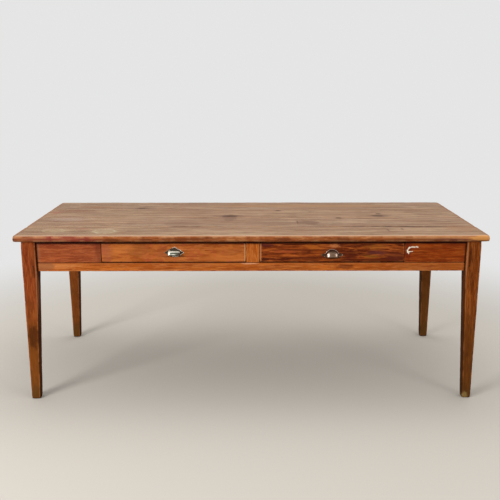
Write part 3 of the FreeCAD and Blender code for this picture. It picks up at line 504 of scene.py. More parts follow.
for node, (seed, left, right, ends, tones, *marks) in PANELS.items():
    runs = tenoned((left, FRONT_FACE, RAIL_TOP), (right, FRONT_BACK, UNDER_TOP), "X", 0.0012,
                   (TENON_FACE, RAIL_TOP + 0.01), (TENON_BACK, TENON_HIGH), ends)
    panel = stick(f"{node}_board", "X", runs, seed, knocks=3)
    wood = OldWood(node, "X", seed, tones, (-0.47, 0.69), streaks=0.5, lights=0.3)
    marked(wood, marks, FRONT_FACE)
    wood.rub((178, 102, 56), 0.5)
    lay_painted_shade(wood)
    # Painted shade in the gap line along the rail.
    wood.band("Z", RAIL_TOP, 0.0022, PAINTED_SHADE, 0.7, 0.3)
    if ends[1]:
        for x0, z0, x1, z1, width, share in SMEAR:
            wood.stroke((x0, FRONT_FACE, z0), (x1, FRONT_FACE, z1), width, PAINT_WHITE, share, 0.7)
    fit(panel, wood.polished(), "apron", node)

MUNTIN_LEFT, MUNTIN_RIGHT = -0.024, 0.036
muntin_runs = tenoned((MUNTIN_LEFT, FRONT_FACE, RAIL_TOP), (MUNTIN_RIGHT, FRONT_BACK, UNDER_TOP), "Z", 0.0012,
                      (MUNTIN_LEFT + 0.01, TENON_FACE), (MUNTIN_RIGHT - 0.01, TENON_BACK),
                      (True, False))
muntin = stick("centre_muntin_board", "Z", muntin_runs, 24, knocks=2)
MUNTIN_TONES = ((204, 112, 42), (160, 78, 26), (186, 98, 34), (218, 136, 66))
wood = OldWood("centre_muntin", "Z", 24, MUNTIN_TONES, (0.0, -0.34))
lay_painted_shade(wood)
# Painted shade in the gap lines beside the drawers and along the rail.
wood.band("X", MUNTIN_RIGHT, 0.0038, PAINTED_SHADE, 0.85, 0.1)
wood.band("X", MUNTIN_LEFT, 0.0028, PAINTED_SHADE, 0.5, 0.1)
wood.band("Z", RAIL_TOP, 0.0022, PAINTED_SHADE, 0.6, 0.3)
wood.rub((206, 128, 70), 0.5)
fit(muntin, wood.polished(), "apron", "centre_muntin")

# Pegs and dowels: hand-cut oak pins that lock the tenons, driven through and pared off nearly flush.
# Their end grain has drunk more finish than the wood round them, so it shows as a small dark spot.
PEG_RADIUS = 0.0035
PEG_LENGTH = 0.03
PEG_SIDES = 10
PEG_X, PEG_Y, PEG_ROWS = 0.952, 0.3745, (0.634, 0.686)


def skin(form, rings, closed=True):
    """Lay faces from each ring of points to the next."""
    for a, b in zip(rings, rings[1:]):
        for k in range(len(a) if closed else len(a) - 1):
            after = (k + 1) % len(a)
            form.faces.new((a[k], a[after], b[after], b[k]))


def meshed(form, name):
    """Turn a form that was built point by point into a mesh."""
    mesh = bpy.data.meshes.new(name)
    form.to_mesh(mesh)
    form.free()
    return mesh


def driven_pin(form, head, inward, chance):
    """A pin cut by hand: an uneven many-sided rod with a low crown at its head."""
    turn = inward.to_track_quat("Z", "Y")
    rings = []
    for depth, share in ((-0.0006, 0.35), (-0.0004, 0.7), (0.0, 0.93), (0.0008, 1.0), (PEG_LENGTH, 0.94)):
        ring = []
        for k in range(PEG_SIDES):
            angle = tau * k / PEG_SIDES
            reach = PEG_RADIUS * share * (1 - 0.07 * chance.random())
            flat = Vector((reach * cos(angle), reach * sin(angle), depth))
            ring.append(form.verts.new(head + turn @ flat))
        rings.append(ring)
    skin(form, rings)
    form.faces.new(rings[0])
    form.faces.new(list(reversed(rings[-1])))


PEGS = {
    "pegs_front": ([(x, -LEG_OUT[1], 0.6225) for x in (-PEG_X, PEG_X)], (0, 1, 0)),
    "pegs_back": ([(x, LEG_OUT[1], z) for x in (-PEG_X, PEG_X) for z in PEG_ROWS], (0, -1, 0)),
    "pegs_left": ([(-LEG_OUT[0], y, z) for y in (-PEG_Y, PEG_Y) for z in PEG_ROWS], (1, 0, 0)),
    "pegs_right": ([(LEG_OUT[0], y, z) for y in (-PEG_Y, PEG_Y) for z in PEG_ROWS], (-1, 0, 0)),
}
PEG_TONES = ((66, 34, 18), (34, 16, 8), (50, 26, 14), (92, 54, 28))
peg_finish = OldWood("peg_end_grain", "Y", 61, PEG_TONES, (0.9, 0.6), ring=0.0012).polished(0.5)
for node, (heads, inward) in PEGS.items():
    chance = random.Random(node)
    form = bmesh.new()
    for head in heads:
        driven_pin(form, Vector(head), Vector(inward), chance)
    fit(shown(f"{node}_pins", meshed(form, f"{node}_pins")), peg_finish, "peg", node)

# Runners, guides and kickers: pale sawn battens that carry, steer and hold down the drawers.
# With them come the drawer stops, the buttons that hold the top, two glue blocks, nails and screws.


def dressed(finish, ease, *nodes):
    """A CAD piece keeps its shape and gets a finish and slightly eased arrises."""
    for node in nodes:
        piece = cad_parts[node]
        piece.data.materials.clear()
        piece.data.materials.append(finish)
        weld = piece.modifiers.new("welded", "WELD")
        weld.merge_threshold = 0.00001
        eased = piece.modifiers.new("eased", "BEVEL")
        eased.width = ease
        eased.segments = 2
        eased.limit_method = "ANGLE"
        eased.angle_limit = radians(35)


SAWN_TONES = ((164, 120, 76), (120, 80, 44), (142, 100, 60), (186, 146, 100))


def sawn(name, grain, seed, heart):
    """Pine left from the saw, dusty and dull."""
    wood = OldWood(name, grain, seed, SAWN_TONES, heart, figure=0.6, lights=0.4)
    wood.tint(0.03, (104, 78, 52), 0.5, 0.56, 0.72)
    wood.shader.inputs["Diffuse Roughness"].default_value = 0.5
    return wood


runner_wood = sawn("sawn_batten", "Y", 51, (0.2, 0.55))
runner_wood.band("Z", RAIL_TOP, 0.004, (186, 150, 108), 0.5)
dressed(runner_wood.polished(0.65, 0.6), 0.0008, "runner_left", "runner_centre", "runner_right")
dressed(sawn("sawn_guide", "Y", 52, (0.3, 0.72)).polished(0.7, 0.6), 0.0008, "guide_left", "guide_centre",
        "guide_right", "kicker_left", "kicker_centre", "kicker_right")
dressed(sawn("sawn_block", "X", 53, (0.1, 0.62)).polished(0.7, 0.6), 0.0006, "drawer_stops",
        "top_buttons_back", "top_buttons_left", "top_buttons_right", "glue_block_left", "glue_block_right")
dressed(peg_finish, 0.0003, "panel_dowels")
iron = Finish("dark_iron", (58, 48, 42))
iron.shader.inputs["Metallic"].default_value = 1.0
iron.tint(0.004, (96, 58, 34), 0.7)
iron_finish = iron.done(iron.spread(iron.cloud(0.002), 0.3, 0.7, 0.45, 0.7), iron.cloud(0.0008), 0.0002)
dressed(iron_finish, 0.0002, "kicker_screws", "button_screws", "guide_nails", "stop_nails",
        "drawer_left_nails", "drawer_right_nails")

# Drawers: boxes of thin raw pine, lap-dovetailed into their fronts, with bottoms slid into grooves.
# The left front is light and even, the right one dark with wavy streaks; both have painted shade along their
# top and bottom edges and a painted shadow under their pulls.
DRAWER_BACK = -0.3945
DRAWER_LOW, DRAWER_HIGH = 0.6385, 0.729
DRAWERS = {
    "drawer_left": (
        -0.6535, -0.0255, 31, "drawer_front_orange",
        ((178, 98, 42), (136, 62, 20), (164, 84, 33), (204, 124, 68)),
        (-0.632, 0.683, 0.024, 0.05, (158, 88, 60), 0.5), (-0.48, 0.69, 0.046, 0.028, (146, 84, 38), 0.5),
        # The dark mark at -0.33 under the cup pull is a painted shadow.
        (-0.388, 0.684, 0.026, 0.022, (136, 62, 34), 0.5), (-0.33, 0.6665, 0.03, 0.004, (44, 18, 8), 0.85),
        (-0.15, 0.66, 0.08, 0.014, (190, 104, 44), 0.5),
    ),
    "drawer_right": (
        0.0375, 0.6655, 32, "drawer_front_dark", ((148, 68, 22), (78, 26, 8), (112, 42, 14), (184, 96, 42)),
        (0.064, 0.716, 0.028, 0.007, (92, 36, 34), 0.7), (0.054, 0.65, 0.016, 0.009, (66, 22, 12), 0.7),
        (0.15, 0.686, 0.06, 0.005, (176, 84, 44), 0.6), (0.265, 0.707, 0.038, 0.01, (186, 100, 34), 0.7),
        # The dark mark at 0.3515 under the dome pull is a painted shadow.
        (0.362, 0.712, 0.02, 0.008, (200, 124, 74), 0.7), (0.3515, 0.657, 0.034, 0.004, (40, 16, 8), 0.85),
        (0.43, 0.668, 0.036, 0.024, (80, 28, 14), 0.7), (0.54, 0.707, 0.044, 0.01, (160, 92, 34), 0.6),
        (0.548, 0.68, 0.036, 0.009, (86, 40, 42), 0.7), (0.52, 0.664, 0.028, 0.006, (120, 80, 24), 0.6),
        (0.626, 0.664, 0.044, 0.02, (92, 38, 24), 0.65),
    ),
}
side_wood = sawn("drawer_side_pine", "Y", 54, (0.2, 0.6)).polished(0.6, 0.6)
back_wood = sawn("drawer_back_pine", "X", 55, (0.1, 0.6)).polished(0.6, 0.6)
bottom_wood = sawn("drawer_bottom_pine", "X", 56, (-0.15, 0.6))
bottom_wood.tint((0.09, 0.05, 0.03), (96, 66, 40), 0.6, 0.52, 0.66)
bottom_finish = bottom_wood.polished(0.6, 0.6)
for body, (left, right, seed, slot, tones, *marks) in DRAWERS.items():
    section = squared((FRONT_FACE, DRAWER_LOW), (DRAWER_BACK, DRAWER_HIGH), 0.0014)
    front = stick(f"{body}_front_board", "X", [(left, right, section, 0.0012)], seed, knocks=5)
    sides = (f"{body}_outer_side", f"{body}_inner_side")
    for node in sides:
        sockets = front.modifiers.new(f"sockets_{node}", "BOOLEAN")
        sockets.operation = "DIFFERENCE"
        sockets.solver = "EXACT"
        sockets.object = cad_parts[node]
    jointed = bpy.data.meshes.new_from_object(front.evaluated_get(bpy.context.evaluated_depsgraph_get()))
    jointed.set_sharp_from_angle(angle=radians(40))
    front.modifiers.clear()
    front.data = jointed
    if body == "drawer_right":
        wood = OldWood(f"{body}_front", "X", seed, tones, (-0.47, 0.67), 0.017, 0.05, 0.85, 0.6, wave=0.22)
        wood.tint((0.2, 0.014), (78, 26, 10), 0.6, 0.49, 0.58, 1.2)
        wood.tint((0.14, 0.01), (196, 104, 44), 0.6, 0.53, 0.62, 1.2)
        pale_end = left + 0.001, 0.004, (214, 142, 98)
    else:
        wood = OldWood(f"{body}_front", "X", seed, tones, (-0.47, 0.67), 0.01, figure=0.4, streaks=0.5)
        wood.tint((0.1, 0.03), (198, 114, 52), 0.5, 0.5, 0.58)
        wood.tint(0.03, (178, 78, 52), 0.4, 0.52, 0.66)
        pale_end = right - 0.0015, 0.004, (224, 160, 108)
    marked(wood, [(*mark, 1.2, 1.2) for mark in marks], FRONT_FACE)
    wood.band("X", *pale_end, 0.85, 0.2)
    wood.rub((206, 130, 76), 0.5)
    lay_painted_shade(wood)
    wood.band("Y", DRAWER_BACK, 0.004, RAW_INSIDE, 0.95, 0.0)
    # Painted shade in the gap line along the rail.
    wood.band("Z", DRAWER_LOW, 0.0042, PAINTED_SHADE, 0.8, 0.3)
    wood.band("Z", DRAWER_HIGH, 0.0012, (138, 88, 50), 0.95, 0.1)
    fit(front, wood.polished(), slot, f"{body}_front", body=body)
    dressed(side_wood, 0.0006, *sides)
    dressed(back_wood, 0.0006, f"{body}_back")
    dressed(bottom_finish, 0.0004, f"{body}_bottom")

# Cup pulls: cast cups on thin plates, nickel-plated and tarnished, held by slotted screws. The left has
# a square hood, two pointed ears and a crown, with a painted highlight along its ridge; the right is a plain
# dome with painted highlights.
PULL_WALL = 0.0018


def line_of_hood(half, reach, corner):
    """The half-round hood's outline from end to end: (along, share of its reach, way out)."""
    drawn = [(-half, share, (-1, 0)) for share in (0.0, 0.5, 1 - corner / reach)]
    for angle in (22, 45, 68, 90):
        turn = radians(angle)
        out = (-cos(turn), sin(turn))
        drawn.append((-half + corner + corner * out[0], (reach - corner + corner * out[1]) / reach, out))
    drawn += [((corner - half) * share, 1.0, (0, 1)) for share in (0.66, 0.33, 0.0)]
    return drawn + [(-x, share, (-out[0], out[1])) for x, share, out in reversed(drawn[:-1])]


def line_of_dome(half, fullness):
    """The dome's outline from end to end: a soft oval with full shoulders."""
    drawn = []
    for k in range(21):
        turn = pi * (1 - k / 20)
        x = copysign(abs(cos(turn)) ** (2 / fullness), cos(turn))
        share = abs(sin(turn)) ** (2 / fullness)
        out = Vector((copysign(abs(x) ** (fullness - 1), x), share ** (fullness - 1))).normalized()
        drawn.append((half * x, share, tuple(out)))
    return drawn


SWEEP = [(angle, 0.0) for angle in (90, 80, 70, 60, 52, 44, 37, 30, 24, 18, 13)]
LIP = [(9, -0.0004), (5, -0.001), (2, -0.0008), (0, 0.0003), (0, 0.0016), (4, 0.0022), (9, 0.002)]
INSIDE = [(angle, PULL_WALL) for angle in (16, 30, 45, 60, 75, 90)]


def hood(form, bright, middle, line, reach, up, fullness, wear_and_sheen):
    """A hollow cup, turned a quarter round the line of its mouth, with a rolled lip."""
    rings = []
    for angle, inset in SWEEP + LIP + INSIDE:
        turn = radians(angle)
        ring = []
        for x, share, (out_x, out_r) in line:
            ahead = max(0.0, reach * share - inset * out_r)
            above = max(0.0, up * share - inset * out_r)
            spot = form.verts.new((middle.x + x - inset * out_x,
                                   middle.y - ahead * abs(cos(turn)) ** (2 / fullness),
                                   middle.z + above * sin(turn) ** (2 / fullness)))
            # Painted shade under the rolled lip and tarnish black inside the cup; elsewhere the cup's painted
            # reflection.
            spot[bright] = -1.0 if inset > 0 or angle < 4 else wear_and_sheen(x, angle)
            ring.append(spot)
        rings.append(ring)
    skin(form, rings, closed=False)


def reach_of(angle, ovals, floor):
    """How far a plate reaches this way: to the furthest of its ovals, but not below its floor.
    An oval that is off the middle stands on both sides of it."""
    step = Vector((cos(angle), sin(angle)))
    furthest = 0.0
    for x, z, wide, tall in ovals:
        a = (step.x / wide) ** 2 + (step.y / tall) ** 2
        b = abs(step.x * x) / wide ** 2 + step.y * z / tall ** 2
        left_over = b * b - a * ((x / wide) ** 2 + (z / tall) ** 2 - 1)
        if left_over > 0:
            furthest = max(furthest, (b + sqrt(left_over)) / a)
    if floor and step.y < 0:
        furthest = min(furthest, -floor / step.y)
    return furthest


PLATE_EDGE = ((0.0, 0.0011), (0.5, 0.0011), (0.84, 0.0011), (0.9, 0.0013), (0.94, 0.0018), (0.975, 0.0018),
              (1.0, 0.0011), (1.0, 0.0))
PLATE_STEPS = 144


def backplate(form, bright, middle, ovals, rim, floor, scallop):
    """A thin cast plate with a raised bead round its edge."""
    rings = []
    for share, rise in PLATE_EDGE:
        ring = []
        for k in range(PLATE_STEPS):
            angle = tau * k / PLATE_STEPS
            reach = reach_of(angle, ovals, floor) * (1 - scallop * (1 + cos(angle * 22)))
            spot = form.verts.new((middle.x + reach * share * cos(angle), middle.y - rise,
                                   middle.z + reach * share * sin(angle)))
            spot[bright] = rim(reach * cos(angle)) if share > 0.92 else -0.8
            ring.append(spot)
        rings.append(ring)
    skin(form, rings)


HEAD_RADIUS = 0.0032
HEAD_CROWN = 0.0017
HEAD_LINE = ((1.0, 0.0), (0.98, 0.35), (0.84, 0.7), (0.6, 0.9), (0.35, 1.0))
HEAD_STEPS = 12
SLOT_HALF = 0.00045


def round_head(form, bright, spot, turn):
    """A round screw head, its slot turned as the screw happened to stop."""
    def at(x, y, z):
        made = form.verts.new((spot.x + x * cos(turn) - z * sin(turn), spot.y - y,
                               spot.z + x * sin(turn) + z * cos(turn)))
        made[bright] = 0.8 * y / HEAD_CROWN - 0.5
        return made
    halves = []
    for side in (1, -1):
        rings = []
        for share, rise in HEAD_LINE:
            reach = HEAD_RADIUS * share
            start = asin(SLOT_HALF / reach)
            angles = [start + (pi - 2 * start) * k / HEAD_STEPS for k in range(HEAD_STEPS + 1)]
            high = HEAD_CROWN * rise
            rings.append([at(reach * cos(a), high, side * reach * sin(a)) for a in angles])
        skin(form, rings, closed=False)
        form.faces.new(rings[-1])
        form.faces.new([ring[0] for ring in rings[1:]] + [ring[-1] for ring in reversed(rings[1:])])
        halves.append(rings)
    upper, lower = halves
    form.faces.new((upper[1][0], upper[1][-1], lower[1][-1], lower[1][0]))
    for end in (0, -1):
        form.faces.new((upper[0][end], upper[1][end], lower[1][end], lower[0][end]))


def cast(name, works):
    """Make one casting or set of screws, and keep in its mesh how bright each place is."""
    form = bmesh.new()
    bright = form.verts.layers.float.new("arris")
    for work, *how in works:
        work(form, bright, *how)
    bmesh.ops.remove_doubles(form, verts=form.verts, dist=0.000005)
    return shown(name, meshed(form, name), 50)


def nickel(name, ground, tarnish, black, bright, gloss, metallic=1.0):
    """Old nickel plate, stained and black in its hollows, with painted highlights, reflections and shade laid
    into its colour from its mesh.
    """
    metal = Finish(name, ground, seed=7)
    metal.shader.inputs["Metallic"].default_value = metallic
    metal.tint(0.012, tarnish, 0.7, 0.42, 0.6)
    wear_and_sheen = metal.sum("SUBTRACT", metal.arris(), 0.4)
    wear_and_sheen = metal.sum("MULTIPLY_ADD", metal.cloud(0.006, 4.0, 0.6), 0.8, wear_and_sheen)
    # Low values lay the dark colour, for tarnish and painted shade; high values lay the bright colour as
    # painted highlight.
    metal.lay(black, 0.92, wear_and_sheen, -0.2, -0.8)
    metal.lay(bright, 0.95, wear_and_sheen, 0.1, 0.8)
    metal.tint(0.003, black, 0.4, 0.6, 0.72)
    rough = metal.spread(wear_and_sheen, -0.5, 0.8, gloss + 0.15, gloss)
    return metal.done(rough, metal.cloud(0.0012, 3.0), 0.0002, 0.3)


def bin_painted_reflection(x, angle):
    """Painted reflection: highlights along its ridge, at its left end and in the middle of its lip, darker
    between them and towards the right.
    """
    lip = exp(-((angle - 9) / 4) ** 2 - ((x + 0.002) / 0.012) ** 2)
    ridge = exp(-((angle - 48) / 15) ** 2)
    end = exp(-((x + 0.022) / 0.006) ** 2)
    return 1.8 * max(lip, ridge, 0.6 * end) - 0.5 - 10 * x


# Painted light on the plate's bead: a highlight right of the middle, painted shade to the left.
def bin_bead_painted_light(x):
    return 1.0 if x > -0.008 else -0.3


def dome_painted_reflection(x, angle):
    """Painted reflection: an upright highlight on each side of its middle, and painted shade towards its top.
    """
    rubbed = exp(-((abs(x) - 0.0178) / 0.004) ** 2) * exp(-((angle - 24) / 24) ** 2)
    return 1.4 * rubbed - 0.3 - 0.5 * max(0.0, (angle - 52) / 38)


# The plate's bead and right ear get a painted highlight; the left ear is dark with tarnish.
def dome_bead_light_and_tarnish(x):
    return 0.5 if abs(x) < 0.034 else 0.3 if x > 0 else -0.5


bin_nickel = nickel("nickel_bright", (104, 110, 94), (84, 88, 72), (70, 48, 32), (255, 250, 232), 0.36, 0.5)
dome_nickel = nickel("nickel_aged", (128, 104, 84), (108, 84, 66), (78, 52, 34), (216, 192, 176), 0.36, 0.9)
screw_metal = nickel("screw_steel", (70, 54, 40), (56, 42, 30), (26, 16, 10), (150, 130, 104), 0.42)
BIN_OVALS = ((0, 0, 0.035, 0.019), (0.0355, 0, 0.007, 0.0032), (0.035, 0, 0.005, 0.0048),
             (0, 0.0195, 0.0065, 0.006), (0.009, 0.018, 0.004, 0.004))
DOME_OVALS = ((0, -0.0085, 0.0328, 0.0348), (0.0415, 0, 0.0055, 0.0055), (0.03, 0, 0.012, 0.0036))
BIN_LINE = line_of_hood(0.0265, 0.021, 0.008)
DOME_LINE = line_of_dome(0.029, 2.5)
SCREW_SEAT = FRONT_FACE - 0.0009
PULLS = {
    "drawer_left": (
        "bin", bin_nickel, "nickel_bright",
        (backplate, Vector((-0.3365, FRONT_FACE, 0.6823)), BIN_OVALS, bin_bead_painted_light, 0.0, 0.012),
        (hood, Vector((-0.3365, FRONT_FACE, 0.6723)), BIN_LINE, 0.021, 0.0215, 2.8, bin_painted_reflection),
        (-0.3735, 0.6823, 0.5), (-0.2995, 0.6823, 2.1), (-0.3365, 0.7013, 1.2)),
    "drawer_right": (
        "dome", dome_nickel, "nickel_aged",
        (backplate, Vector((0.3515, FRONT_FACE, 0.6708)), DOME_OVALS, dome_bead_light_and_tarnish, 0.0085, 0.0),
        (hood, Vector((0.3515, FRONT_FACE, 0.6623)), DOME_LINE, 0.0228, 0.0308, 2.3, dome_painted_reflection),
        (0.31, 0.6708, 0.9), (0.393, 0.6708, 2.6)),
}
for body, (kind, metal, slot, plate, cup, *screws) in PULLS.items():
    heads = [(round_head, Vector((x, SCREW_SEAT, z)), turn) for x, z, turn in screws]
    fit(cast(f"{body}_{kind}_pull", [plate, cup]), metal, slot, f"{body}_pull", body=body)
    fit(cast(f"{body}_{kind}_screws", heads), screw_metal, "screw_steel", f"{body}_pull_screws", body=body)

# Top: four wide planks in tongue and groove, scrubbed pale and grey, their outer edges worn round.
# Old finish is left on the edges; marks of paint, heat and wet lie where the photograph shows them.
TOP_HALF = 1.03
TOP_HIGH = 0.76
TOP_ROUND = 0.005
TONGUE = (0.743, 0.751)
TONGUE_OUT = 0.008
SEAMS = (-0.44, -0.229, -0.006, 0.217, 0.44)
SEAM_EASE = (TOP_ROUND, 0.0014, 0.0005, 0.0005, TOP_ROUND)


def plank(number):
    """A plank's section: a tongue behind, a groove in front, rounded at an outer edge."""
    front, back = SEAMS[number], SEAMS[number + 1]

    def section(place, inset):
        low, high = UNDER_TOP + inset, TOP_HIGH - inset
        u0 = front + inset if number == 0 else front
        u1 = back - inset if number == 3 else back
        ease_front, ease_back = [max(SEAM_EASE[k] - inset, 0.0003) for k in (number, number + 1)]
        wide = back - front
        corners = [(u0, low, ease_front, wide), (u1, low, ease_back, TONGUE_OUT)]
        if number < 3:
            tip = u1 + TONGUE_OUT
            corners += [(u1, TONGUE[0], 0.0002, TONGUE_OUT), (tip, TONGUE[0], 0.0004, TONGUE_OUT),
                        (tip, TONGUE[1], 0.0004, TONGUE_OUT), (u1, TONGUE[1], 0.0002, TONGUE_OUT)]
        corners += [(u1, high, ease_back, wide), (u0, high, ease_front, TONGUE_OUT)]
        if number > 0:
            floor = u0 + TONGUE_OUT + 0.0005
            roof, sill = TONGUE[1] + 0.0001, TONGUE[0] - 0.0001
            corners += [(u0, roof, 0.0002, TONGUE_OUT), (floor, roof, 0.0002, TONGUE_OUT),
                        (floor, sill, 0.0002, TONGUE_OUT), (u0, sill, 0.0002, TONGUE_OUT)]
        return tuple(corners)
    return section


PLANKS = {
    "front": ((-0.36, 0.69), ((168, 136, 108), (112, 80, 56), (146, 112, 84), (188, 158, 128))),
    "inner_front": ((-0.1, 0.7), ((167, 135, 109), (114, 84, 62), (145, 112, 88), (182, 154, 128))),
    "inner_back": ((0.12, 0.69), ((167, 135, 107), (112, 81, 58), (145, 110, 82), (184, 153, 123))),
    "back": ((0.36, 0.68), ((164, 134, 109), (114, 85, 63), (146, 112, 86), (182, 153, 127))),
}
FIRST_SEED = 41
TOP_MARKS = (
    (-0.88, -0.05, 0.085, 0.045, (172, 144, 130), 0.45), (-0.645, -0.34, 0.07, 0.04, (182, 160, 126), 0.45),
    (-0.86, -0.32, 0.06, 0.03, (178, 152, 114), 0.4), (-0.76, -0.28, 0.03, 0.018, (146, 84, 66), 0.5),
    (-0.985, 0.13, 0.025, 0.05, (164, 100, 80), 0.4), (-0.8, 0.29, 0.11, 0.025, (140, 94, 62), 0.65),
    (-0.567, 0.25, 0.07, 0.022, (124, 92, 74), 0.65), (-0.9, 0.18, 0.09, 0.04, (130, 88, 64), 0.6),
    (-0.78, -0.17, 0.11, 0.022, (138, 98, 74), 0.55), (-0.9, 0.02, 0.06, 0.016, (134, 92, 68), 0.5),
    (-0.33, -0.17, 0.08, 0.05, (124, 92, 72), 0.6), (-0.3, -0.232, 0.075, 0.01, (90, 56, 36), 0.85),
    (-0.42, -0.33, 0.16, 0.022, (126, 94, 70), 0.5), (-0.1, -0.01, 0.034, 0.075, (124, 92, 74), 0.75),
    (0.27, -0.135, 0.055, 0.045, (120, 88, 68), 0.8), (0.219, -0.13, 0.004, 0.034, (100, 60, 44), 0.8),
    (0.1, -0.15, 0.12, 0.05, (134, 104, 82), 0.6), (0.306, -0.062, 0.035, 0.005, (108, 80, 60), 0.6),
    (0.23, -0.26, 0.09, 0.02, (138, 98, 76), 0.5), (0.3, 0.32, 0.5, 0.035, (164, 118, 74), 0.5),
    (0.84, -0.09, 0.05, 0.01, (126, 94, 68), 0.5), (0.96, -0.28, 0.08, 0.06, (162, 118, 84), 0.45),
    (0.612, -0.31, 0.005, 0.03, (110, 80, 58), 0.6), (0.68, -0.29, 0.006, 0.022, (110, 80, 58), 0.6),
    (0.34, -0.23, 0.16, 0.006, (104, 70, 48), 0.85), (0.7, -0.231, 0.27, 0.009, (70, 42, 28), 0.95),
    (0.56, 0.1, 0.04, 0.06, (142, 110, 84), 0.5),
)
TOP_KNOTS = ((0.626, 0.035, 0.03, 0.02), (-0.105, 0.03, 0.036, 0.02), (0.427, -0.018, 0.014, 0.014),
             (0.14, 0.18, 0.012, 0.01), (-0.567, 0.25, 0.018, 0.012), (0.64, 0.09, 0.011, 0.01))
EDGE_MARKS = (
    (-0.8, 0.747, 0.14, 0.02, (132, 50, 44), 0.7), (-0.97, 0.752, 0.09, 0.012, (122, 64, 42), 0.5),
    (0.85, 0.753, 0.2, 0.007, (190, 130, 84), 0.6), (0.86, 0.744, 0.08, 0.006, (96, 54, 44), 0.6),
)
CORNER_MARKS = ((1.0, 0.751, 0.06, 0.012, (222, 156, 84), 0.7), (-1.03, 0.746, 0.01, 0.02, (64, 32, 16), 0.8))
for number, (where, (heart, tones)) in enumerate(PLANKS.items()):
    node, seed = f"top_plank_{where}", FIRST_SEED + number
    run = (-TOP_HALF, TOP_HALF, plank(number), TOP_ROUND * 0.9)
    board = stick(f"{node}_board", "X", [run], seed, 0.0012, knocks=12)
    wood = OldWood(node, "X", seed, tones, heart, 0.012, figure=0.32, streaks=0.42, drifts=0.75, lights=0.6)
    wood.tint((0.5, 0.16), (152, 116, 90), 0.7, 0.46, 0.6)
    wood.tint((0.24, 0.05), (188, 154, 122), 0.5, 0.48, 0.66)
    wood.tint((0.2, 0.04), (138, 100, 74), 0.7, 0.49, 0.66)
    wood.tint((0.08, 0.022), (112, 78, 56), 0.6, 0.58, 0.7)
    wood.tint((0.7, 0.015), (126, 92, 66), 0.45, 0.5, 0.62, 0.3)
    wood.tint((0.6, 0.013), (194, 162, 130), 0.35, 0.51, 0.62, 0.3)
    front, back = SEAMS[number], SEAMS[number + 1]
    for x, y, long, wide, colour, share in TOP_MARKS:
        if front - wide < y < back + wide:
            wood.patch((x, y, TOP_HIGH), (long, wide, 0.03), colour, share)
    for x, y, long, wide in TOP_KNOTS:
        if front < y < back:
            wood.knot((x, y, TOP_HIGH), (long, wide, 0.03), (84, 54, 36))
    if number == 0:
        wood.ring((-0.65, -0.334, TOP_HIGH), (0.049, 0.037, 0.03), (206, 196, 166), 0.5, 0.22)
        wood.ring((-0.885, -0.318, TOP_HIGH), (0.045, 0.034, 0.03), (192, 172, 138), 0.4)
        # A painted highlight along the front of the top, behind its rounded edge.
        wood.band("Y", -0.428, 0.014, (214, 172, 138), 0.6, 0.7)
    for axis, at in (("X", -TOP_HALF), ("X", TOP_HALF), ("Y", SEAMS[0]), ("Y", SEAMS[4])):
        wood.band(axis, at, 0.007 if axis == "Y" else 0.014, (152, 104, 72), 0.8, 0.8)
        wood.band(axis, at, 0.004, (150, 80, 36), 0.95, 0.5)
    edge_mottle = wood.cloud((0.1, 0.02), 4.0, 0.6)
    on_edge = wood.spread(wood.parts[1], -0.4385, -0.4395)
    for low, high, colour in ((0.5, 0.6, (104, 48, 18)), (0.46, 0.38, (192, 128, 76))):
        wood.coat(wood.sum("MULTIPLY", on_edge, wood.spread(edge_mottle, low, high, 0.0, 0.8)), colour)
    marked(wood, EDGE_MARKS, SEAMS[0], 0.01)
    marked(wood, CORNER_MARKS, SEAMS[0], 0.02)
    wood.rub((196, 142, 96), 0.5)
    # Painted shade on the lower part of the top's edges, darkest at its underside.
    wood.lay((70, 30, 12), 0.5, wood.parts[2], UNDER_TOP + 0.013, UNDER_TOP + 0.003)
    wood.band("Z", UNDER_TOP, 0.0012, RAW_INSIDE, 0.95, 0.0)
    fit(board, wood.polished(0.6, 0.5, 0.1), "top", node)

# Stage: a wide pale floor that fades into plain white at its rim, the same from every side.
# Seen straight it is pale; what it throws back at the table is as dim as a real concrete floor's.
FLOOR_REACH = 9.0
FLOOR_SIDES = 64
BACKDROP_WHITE = 0.784
form = bmesh.new()
rings = [[form.verts.new((0, 0, 0))]]
for reach in (0.5, 1.0, 1.5, 2.0, 3.0, 4.5, FLOOR_REACH):
    angles = [tau * k / FLOOR_SIDES for k in range(FLOOR_SIDES)]
    rings.append([form.verts.new((reach * cos(a), reach * sin(a), 0)) for a in angles])
for k in range(FLOOR_SIDES):
    form.faces.new((rings[0][0], rings[1][k], rings[1][(k + 1) % FLOOR_SIDES]))
skin(form, rings[:0:-1])
studio_floor = shown("studio_floor", meshed(form, "studio_floor"))


def seen_in(tree):
    """One where the camera sees a thing, itself or in a mirror, nothing where it only throws light."""
    rays = tree.nodes.new("ShaderNodeLightPath").outputs
    seen = rays["Is Camera Ray"]
    for ray in ("Is Glossy Ray", "Is Transmission Ray"):
        either = tree.nodes.new("ShaderNodeMath")
        either.operation = "MAXIMUM"
        tree.links.new(seen, either.inputs[0])
        tree.links.new(rays[ray], either.inputs[1])
        seen = either.outputs[0]
    return seen


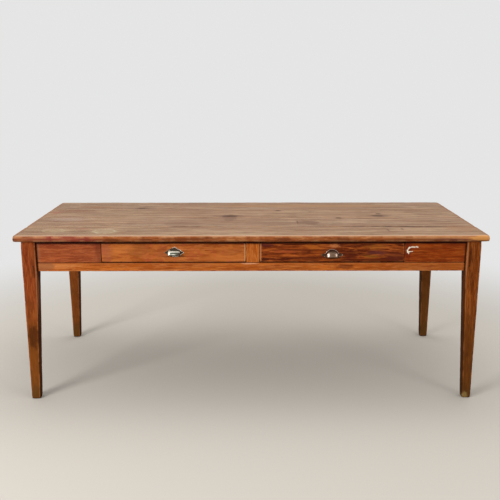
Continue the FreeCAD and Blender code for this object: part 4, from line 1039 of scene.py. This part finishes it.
paint = Finish("studio_paint", (146, 136, 118))
seen = seen_in(paint.tree)
paint.coat(seen, (206, 200, 190))
out = paint.spread(paint.vector("LENGTH", paint.place, out="Value"), 1.3, 2.9)
faded = paint.sum("MULTIPLY", seen, out)
paint.coat(faded, (0, 0, 0))
paint.shader.inputs["Emission Color"].default_value = (1, 1, 1, 1)
paint.shader.inputs["Specular IOR Level"].default_value = 0.0
paint.tree.links.new(paint.sum("MULTIPLY", faded, BACKDROP_WHITE), paint.shader.inputs["Emission Strength"])
floor_rough = paint.spread(paint.cloud(0.3), 0.3, 0.7, 0.7, 0.9)
studio_floor.data.materials.append(paint.done(floor_rough, paint.cloud(0.002), 0.0002, 0.2))
LAMP_AIM = Vector((0, 0, 0.5))


def soft_light(name, place, wide, tall, power):
    lamp = bpy.data.lights.new(name, "AREA")
    lamp.shape = "RECTANGLE"
    lamp.size = wide
    lamp.size_y = tall
    lamp.energy = power
    light = placed(name, lamp)
    light.location = place
    light.rotation_euler = (Vector(place) - LAMP_AIM).to_track_quat("Z", "Y").to_euler()
    light.visible_camera = False


soft_light("window_light", (-3.4, -3.6, 2.1), 1.6, 2.4, 140)
soft_light("room_light", (3.2, -3.4, 2.1), 1.2, 2.2, 25)
soft_light("ceiling_light", (0.3, 0.4, 3.8), 3.0, 2.0, 34)
world = bpy.data.worlds.new("room")
bpy.context.scene.world = world
world.use_nodes = True
sky = world.node_tree
strength = sky.nodes.new("ShaderNodeMapRange")
strength.inputs["To Min"].default_value = 0.7
strength.inputs["To Max"].default_value = BACKDROP_WHITE
sky.links.new(seen_in(sky), strength.inputs["Value"])
sky.nodes["Background"].inputs["Color"].default_value = (1, 1, 1, 1)
sky.links.new(strength.outputs[0], sky.nodes["Background"].inputs["Strength"])

# Camera: standing in front of the table, a little left of its middle, at the height of a low eye.
# It looks slightly down, through a lens of normal length, as the photographer did.
lens = bpy.data.cameras.new("eye")
lens.lens = 51.43
lens.sensor_width = 36
eye = placed("eye", lens)
eye.location = (-0.0249, -3.4385, 1.411)
eye.rotation_euler = (pi / 2 - 0.233, 0, -0.006)
bpy.context.scene.camera = eye
bpy.context.scene.view_settings.view_transform = "Standard"
